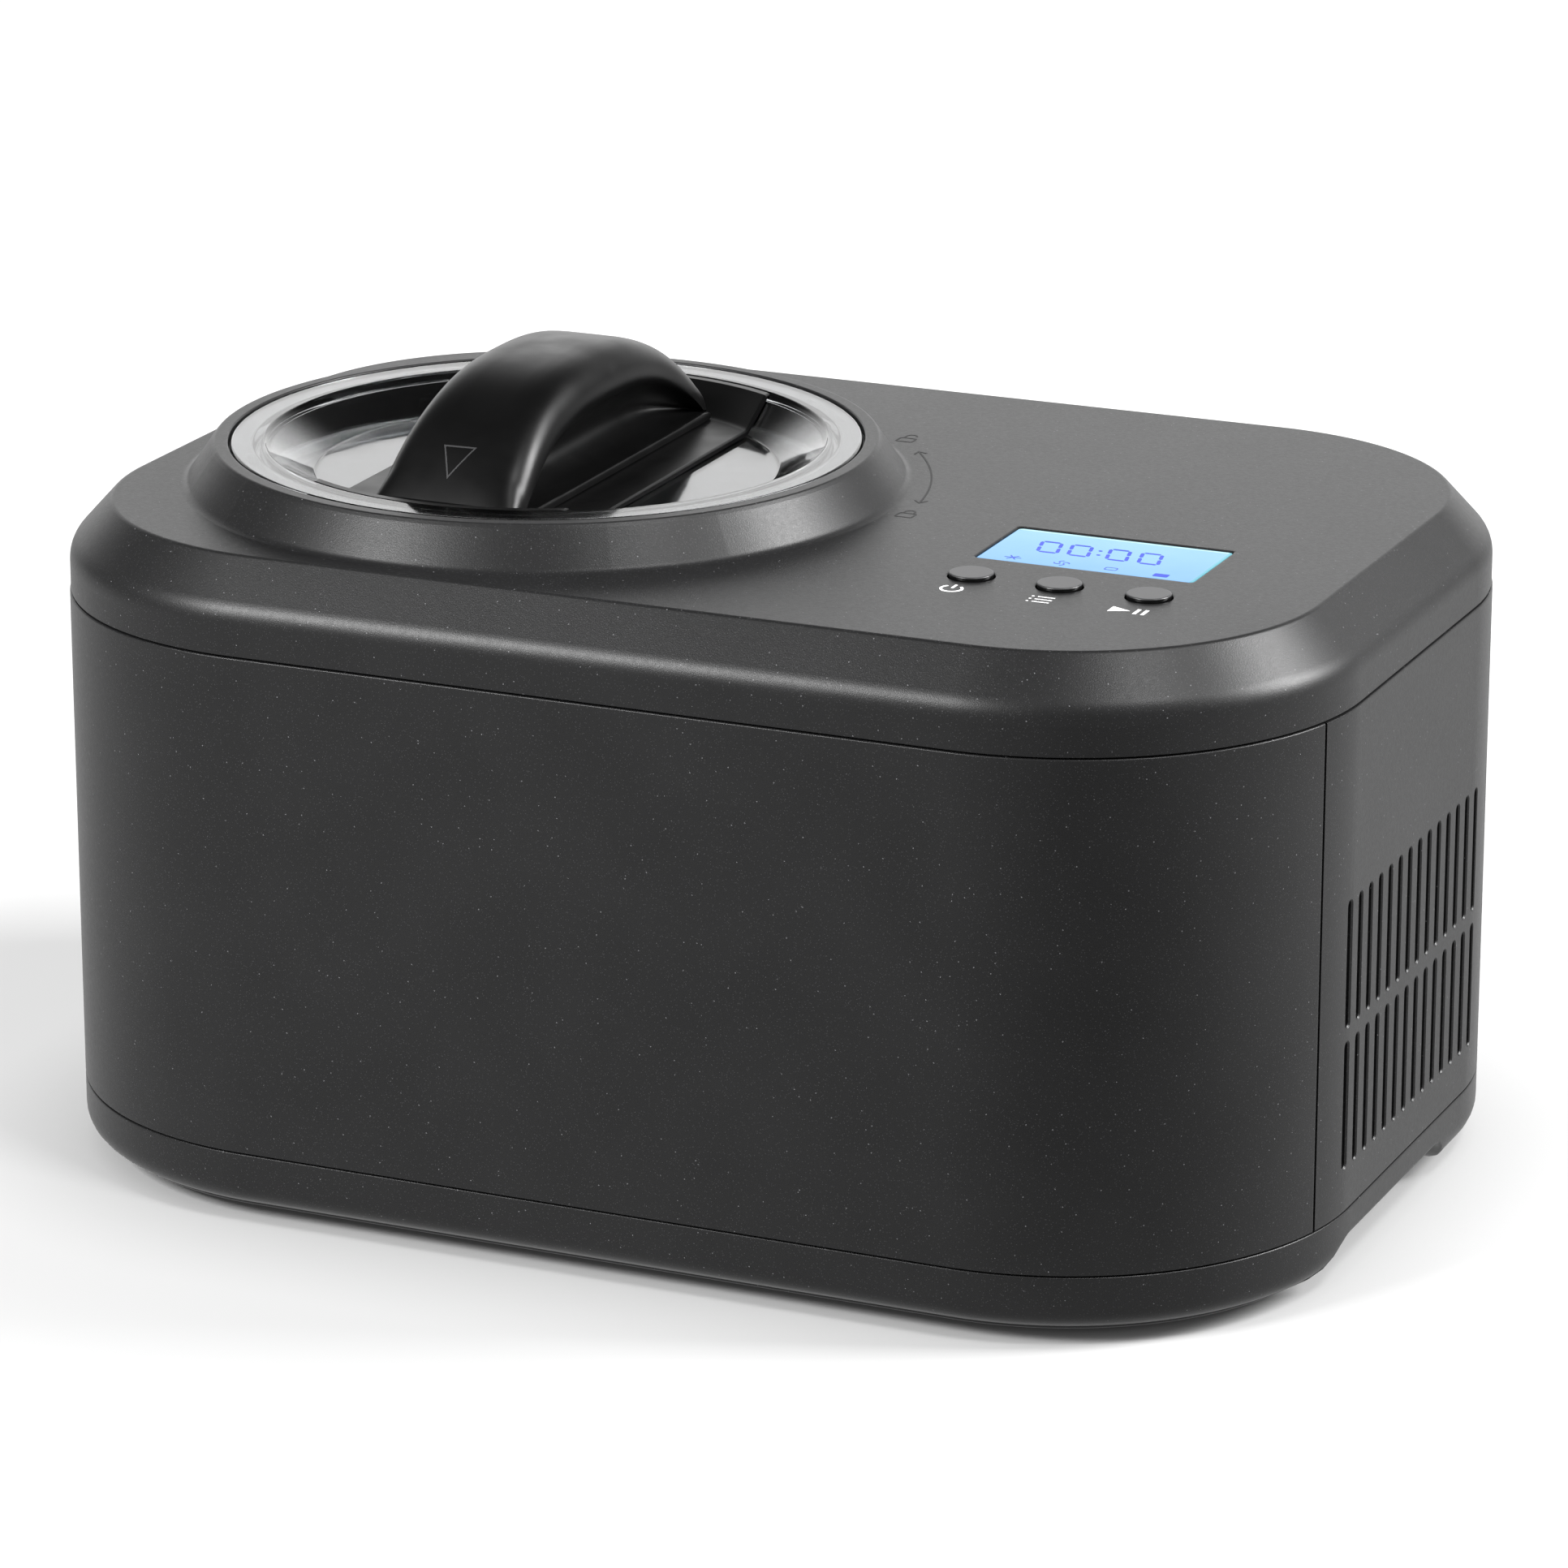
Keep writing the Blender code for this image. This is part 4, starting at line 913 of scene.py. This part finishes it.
def stroke(bm, points, width, z, closed=False, thick=0.05):
    """Flat line of even width along points, as a thin closed strip."""
    count = len(points)
    left, right = [], []
    for i, point in enumerate(points):
        here = Vector(point)
        before = Vector(points[i - 1]) if (i or closed) else None
        after = Vector(points[(i + 1) % count]) if (i < count - 1 or closed) else None
        a = (here - before).normalized() if before is not None else (after - here).normalized()
        b = (after - here).normalized() if after is not None else a
        way = (a + b).normalized()
        normal = Vector((-way.y, way.x))
        reach = width / 2 / max(0.35, normal.dot(Vector((-a.y, a.x))))
        left.append(here + normal * reach)
        right.append(here - normal * reach)
    rows = []
    for a, b in zip(left, right):
        rows.append(add_ring(bm, [(a.x, a.y, z), (b.x, b.y, z), (b.x, b.y, z + thick), (a.x, a.y, z + thick)]))
    skin(bm, rows, wrap_rings=closed)
    if not closed:
        bm.faces.new(rows[0][::-1])
        bm.faces.new(rows[-1])


def icons():
    """Printed symbols in front of the buttons: power, list, and play with pause."""
    bm = bmesh.new()
    z = DECK_Z + 0.01
    px, py = 87.4, -79.1
    stroke(bm, arc(px, py, 3.1, 130.0, 410.0, 32), 0.8, z)
    stroke(bm, [(px, py + 0.4), (px, py + 4.0)], 0.8, z)
    lx, ly = 114.9, -79.4
    for k in (-1, 0, 1):
        y = ly + 2.5 * k
        stroke(bm, [(lx - 1.8, y), (lx + 3.4, y)], 0.62, z)
        stroke(bm, [(lx - 3.6, y), (lx - 2.9, y)], 0.7, z)
    sx, sy = 141.9, -80.1
    prism(bm, [(sx - 5.6, sy - 2.6), (sx + 0.4, sy), (sx - 5.6, sy + 2.6)], z, z + 0.05)
    for x in (sx + 2.4, sx + 4.8):
        stroke(bm, [(x, sy - 2.5), (x, sy + 2.5)], 1.05, z)
    place("key_symbols", bm, M["print"], "housing", weighted=False)


def digits():
    """Seven-segment figures and small status symbols on the display."""
    bm = bmesh.new()
    z = 202.86
    mx, my = WINDOW_MIDDLE
    width, height, w = 6.0, 10.4, 1.15
    cx0, cy = mx - 1.3, my + 1.6

    def lean(points):
        return [(x - 0.22 * (y - cy), y) for x, y in points]

    def bar(x0, y0, x1, y1):
        a, b = Vector((x0, y0)), Vector((x1, y1))
        d = (b - a).normalized()
        n = Vector((-d.y, d.x)) * w / 2
        tip = d * w / 2
        prism(bm, lean((a, a + tip - n, b - tip - n, b, b - tip + n, a + tip + n)), z, z + 0.03)

    for x in (-16.4, -6.9, 5.0, 14.9):
        cx = cx0 + x
        x0, x1 = cx - width / 2, cx + width / 2
        y0, y1 = cy - height / 2, cy + height / 2
        g = 0.28
        for run in ((x0 + g, y1, x1 - g, y1), (x0 + g, y0, x1 - g, y0), (x0, cy + g, x0, y1 - g),
                    (x1, cy + g, x1, y1 - g), (x0, y0 + g, x0, cy - g), (x1, y0 + g, x1, cy - g)):
            bar(*run)
    for dy in (-2.1, 2.1):
        prism(bm, lean(arc(cx0 - 0.9, cy + dy, 0.65, 0.0, 330.0, 11)), z, z + 0.03)
    iy = my - 12.7
    for k in range(3):
        a = 60.0 * k * DEG
        d = Vector((math.cos(a), math.sin(a))) * 2.6
        stroke(bm, [(mx - 23.6 - d.x, iy - 0.8 * d.y), (mx - 23.6 + d.x, iy + 0.8 * d.y)], 0.4, z + 0.004 * k,
               thick=0.03)
    for k in range(4):
        a = 90.0 * k
        blade_x, blade_y = mx - 8.4 + 1.2 * math.cos(a * DEG), iy + 1.2 * math.sin(a * DEG)
        stroke(bm, arc(blade_x, blade_y, 1.1, a, a + 150.0, 8), 0.4, z + 0.004 * k, thick=0.03)
    stroke(bm, rounded_rect(1.8, 1.2, 0.6, 3, mx + 6.9, iy), 0.35, z, closed=True, thick=0.03)
    prism(bm, rounded_rect(2.3, 1.5, 0.5, 3, mx + 22.5, iy - 0.6), z, z + 0.03)
    place("display_figures", bm, M["ink"], "housing", weighted=False)


def lock_marks():
    """Turn marks beside the collar: open lock, two-way arrow and closed lock, as near-black strips that paint
    the shade in their engraved grooves.
    """
    bm = bmesh.new()
    z = DECK_Z + 0.008

    def polar(r, a):
        return (LID[0] + r * math.cos(a * DEG), LID[1] + r * math.sin(a * DEG))

    line = 0.6

    def lock(r, a, opened):
        ox, oy = polar(r, a)
        stroke(bm, rounded_rect(2.6, 2.1, 0.5, 3, ox, oy - 1.7), line, z, closed=True)
        lift = 1.1 if opened else 0.0
        shackle = [(ox - 1.6, oy + 0.6)] + arc(ox, oy + 1.8 + lift, 1.6, 180.0, 0.0, 10)
        if not opened:
            shackle.append((ox + 1.6, oy + 0.6))
        stroke(bm, shackle, line, z)

    lock(118.2, 45.2, True)
    lock(116.6, 1.9, False)
    stroke(bm, arc(*LID, 116.2, 8.0, 37.5, 24), line, z)
    for a, sign in ((8.0, 1), (37.5, -1)):
        beside = a + sign * 1.3
        stroke(bm, [polar(114.3, beside), polar(116.2, a), polar(118.1, beside)], line, z + 0.004)
    place("lock_marks", bm, M["groove"], "housing", weighted=False)


def handle_mark():
    """Outlined triangle on the front of the handle, a hair proud of the arch, in a lighter grey that paints the
    highlight on its edges.
    """
    corners = [(-5.5, -58.2), (5.1, -58.0), (-0.5, -66.9)]
    middle = Vector((sum(c[0] for c in corners) / 3, sum(c[1] for c in corners) / 3))
    bm = bmesh.new()
    count = len(corners)

    def on_arch(v, u, lift):
        slope = (handle_top(u + 0.05) - handle_top(u - 0.05)) / 0.1
        normal = Vector((0, -slope, 1)).normalized()
        spot = Vector((LID[0] + v, LID[1] + u, handle_top(u))) + normal * lift
        return tuple(spot)

    for i in range(count):
        a, b = Vector(corners[i]), Vector(corners[(i + 1) % count])
        rows = []
        for k in range(13):
            p = a.lerp(b, k / 12)
            q = p.lerp(middle, 0.14)
            rows.append(add_ring(bm, [on_arch(p.x, p.y, -0.1), on_arch(p.x, p.y, 0.16), on_arch(q.x, q.y, 0.16),
                                      on_arch(q.x, q.y, -0.1)]))
        skin(bm, rows)
        bm.faces.new(rows[0][::-1])
        bm.faces.new(rows[-1])
    place("handle_arrow", bm, M["mark"], "lid", weighted=False)


# ---------------------------------------------------------------- bowl


def mixing_bowl():
    profile = rounded([
        (9.2, 66.4, 0.5), (79.6, 66.4, 3.4), (82.2, 69.6, 2.0), (82.2, 196.0, 0.3), (84.2, 196.0, 0.4),
        (84.2, 198.0, 0.5), (80.9, 198.0, 0.5), (80.6, 197.4, 0.2), (80.6, 70.3, 2.0), (77.4, 68.1, 2.4),
        (11.0, 68.1, 1.6), (11.0, 106.0, 0.4), (9.2, 106.0, 0.4),
    ], turn=15.0, support=0.6)
    place("spun_bowl", turned(profile, 128, *LID), M["aluminium"], "bowl", ("mixing_bowl",))


# ---------------------------------------------------------------- carried-over nodes

# Slots whose material has another name here; the rest share their slot's name
SLOT_PAINT = {
    "compressor_paint": "paint", "body_plastic": "body", "handle_plastic": "handle",
    "clear_plastic": "clear", "button_plastic": "button",
}


def paint_nodes():
    for row in frame["record"]["subparts"]:
        mesh = frame["nodes"][row["node"]].data
        slot = row["material_slot"]
        # The condenser fins take the near-black fin material, painted shade behind the slots.
        paint = "fins" if row["node"] == "condenser_fins" else SLOT_PAINT.get(slot, slot)
        mesh.materials.clear()
        mesh.materials.append(M[paint])


# ---------------------------------------------------------------- studio

ROOM_LIGHT = 0.1
WALL_LIGHT = 1.9
FLOOR_HALF = 9000.0
FLOOR_STEPS = 24
CAMERA_AT = (0.7968, -1.8173, 0.7461)
CAMERA_AZIMUTH = 23.66
CAMERA_DROP = 17.77
CAMERA_LENS = 157.1


def light_the_world():
    """Dim room with a bright wall behind the object; the camera itself sees plain pale paper."""
    world = bpy.data.worlds.new("studio")
    world.use_nodes = True
    tree = world.node_tree
    ambient = tree.nodes["Background"]
    ambient.inputs["Color"].default_value = (1.0, 1.0, 1.0, 1.0)
    make = tree.nodes.new
    link = tree.links.new
    split = make("ShaderNodeSeparateXYZ")
    link(make("ShaderNodeTexCoord").outputs["Generated"], split.inputs[0])

    along_x = math_node(tree, "MULTIPLY", split.outputs["X"], -0.39)
    along_y = math_node(tree, "MULTIPLY", split.outputs["Y"], 0.92)
    along = math_node(tree, "ADD", along_x, along_y)
    facing = range_node(tree, along, 0.66, 0.94, 0.0, WALL_LIGHT, "SMOOTHSTEP")
    height = range_node(tree, split.outputs["Z"], 0.32, 0.6, 1.0, 0.0, "SMOOTHSTEP")
    wall = math_node(tree, "MULTIPLY", facing, height)
    link(math_node(tree, "ADD", wall, ROOM_LIGHT), ambient.inputs["Strength"])
    paper = make("ShaderNodeBackground")
    paper.inputs["Color"].default_value = (0.97, 0.97, 0.97, 1.0)
    mix = make("ShaderNodeMixShader")
    link(make("ShaderNodeLightPath").outputs["Is Camera Ray"], mix.inputs[0])
    link(ambient.outputs[0], mix.inputs[1])
    link(paper.outputs[0], mix.inputs[2])
    link(mix.outputs[0], tree.nodes["World Output"].inputs["Surface"])
    bpy.context.scene.world = world


def lay_floor():
    """Pale paper; seen directly it is brighter than in the light it gives the object. Seen directly its glow
    grows with distance from the object and is cut by occlusion, a painted contact shadow; in the light it gives
    the object it glows as painted light, with a painted dark patch in front of the right side.
    """
    bm = bmesh.new()
    spread = [-FLOOR_HALF + 2 * FLOOR_HALF * i / FLOOR_STEPS for i in range(FLOOR_STEPS + 1)]
    grid = [[bm.verts.new((x, y, 0.0)) for y in spread] for x in spread]
    skin(bm, grid, wrap_around=False)
    bmesh.ops.scale(bm, verts=bm.verts[:], vec=(MM, MM, MM))
    mesh = bpy.data.meshes.new("studio_floor")
    bm.to_mesh(mesh)
    bm.free()
    n = Nodes("floor_paper")
    paper = n.blend(n.noise(3.0, 2.0), (0.32, 0.32, 0.32), (0.34, 0.34, 0.34))
    share = n.seen(1.0, 0.0)
    # Glow seen directly: painted light rising with distance from the object, darkened by occlusion as a painted
    # contact shadow.
    painted_glow_and_contact_shadow = n.maths("MULTIPLY", n.ramp(n.radius(), 0.3, 1.0, 0.36, 0.8), n.occlusion(0.05))
    # Glow in the light given to the object: painted light, with a painted dark patch in front of the object's
    # right side.
    painted_glow_with_dark_patch = n.ramp(n.radius((0.33, -0.52, 0.0)), 0.13, 0.5, 0.0, 0.78)
    n.set(Base_Color=n.blend(share, (0.09, 0.09, 0.09), paper), Roughness=0.9, Specular_IOR_Level=0.1)
    n.set(Emission_Color=(1.0, 1.0, 1.0, 1.0), Emission_Strength=n.seen(painted_glow_and_contact_shadow, painted_glow_with_dark_patch))
    mesh.materials.append(n.mat)
    floor = bpy.data.objects.new("studio_floor", mesh)
    bpy.context.scene.collection.objects.link(floor)


def point_at(item, direction):
    item.rotation_mode = "QUATERNION"
    item.rotation_quaternion = direction.to_track_quat("-Z", "Y")
    bpy.context.scene.collection.objects.link(item)


def softbox(name, azimuth, elevation, distance, size_x, size_y, radiance):
    """Rectangular lamp at a bearing from the object, with the brightness of its face given."""
    a, e = azimuth * DEG, elevation * DEG
    target = Vector((0.0, 0.0, 0.15))
    spot = target + distance * Vector((math.cos(a) * math.cos(e), math.sin(a) * math.cos(e), math.sin(e)))
    lamp = bpy.data.lights.new(name, "AREA")
    lamp.shape = "RECTANGLE"
    lamp.size = size_x
    lamp.size_y = size_y
    lamp.energy = math.pi * size_x * size_y * radiance
    holder = bpy.data.objects.new(name, lamp)
    holder.location = spot
    point_at(holder, target - spot)


def set_camera():
    view = bpy.data.cameras.new("photo_camera")
    view.lens = CAMERA_LENS
    view.sensor_width = 36.0
    view.clip_start = 0.05
    camera = bpy.data.objects.new("photo_camera", view)
    camera.location = CAMERA_AT
    azimuth, drop = CAMERA_AZIMUTH * DEG, CAMERA_DROP * DEG
    point_at(camera, Vector((-math.sin(azimuth) * math.cos(drop), math.cos(azimuth) * math.cos(drop),
                             -math.sin(drop))))
    bpy.context.scene.camera = camera
    bpy.context.scene.view_settings.view_transform = "Standard"


def studio():
    lay_floor()
    light_the_world()
    softbox("front_left_box", -123.0, 33.0, 2.2, 0.8, 0.62, 52.0)
    softbox("right_box", 24.0, 30.0, 2.0, 0.66, 0.9, 50.0)
    softbox("upper_right_box", -26.0, 56.0, 2.2, 0.46, 0.42, 42.0)
    set_camera()


studio()
paint_nodes()
base_tray()
for index, (sx, sy) in enumerate(((-1, -1), (1, -1), (-1, 1), (1, 1)), 1):
    foot(index, sx, sy)
wrap_panel("front_wrap_sheet", "front_wrap", True)
wrap_panel("rear_sheet", "rear_panel", False)
vent_panel("right_vent_sheet", "right_vent_panel", 1)
vent_panel("left_vent_sheet", "left_vent_panel", -1)
top_cover()
controls()
icons()
digits()
lock_marks()
lid_dish()
lid_band()
lid_handle()
handle_mark()
lid_seal()
mixing_bowl()
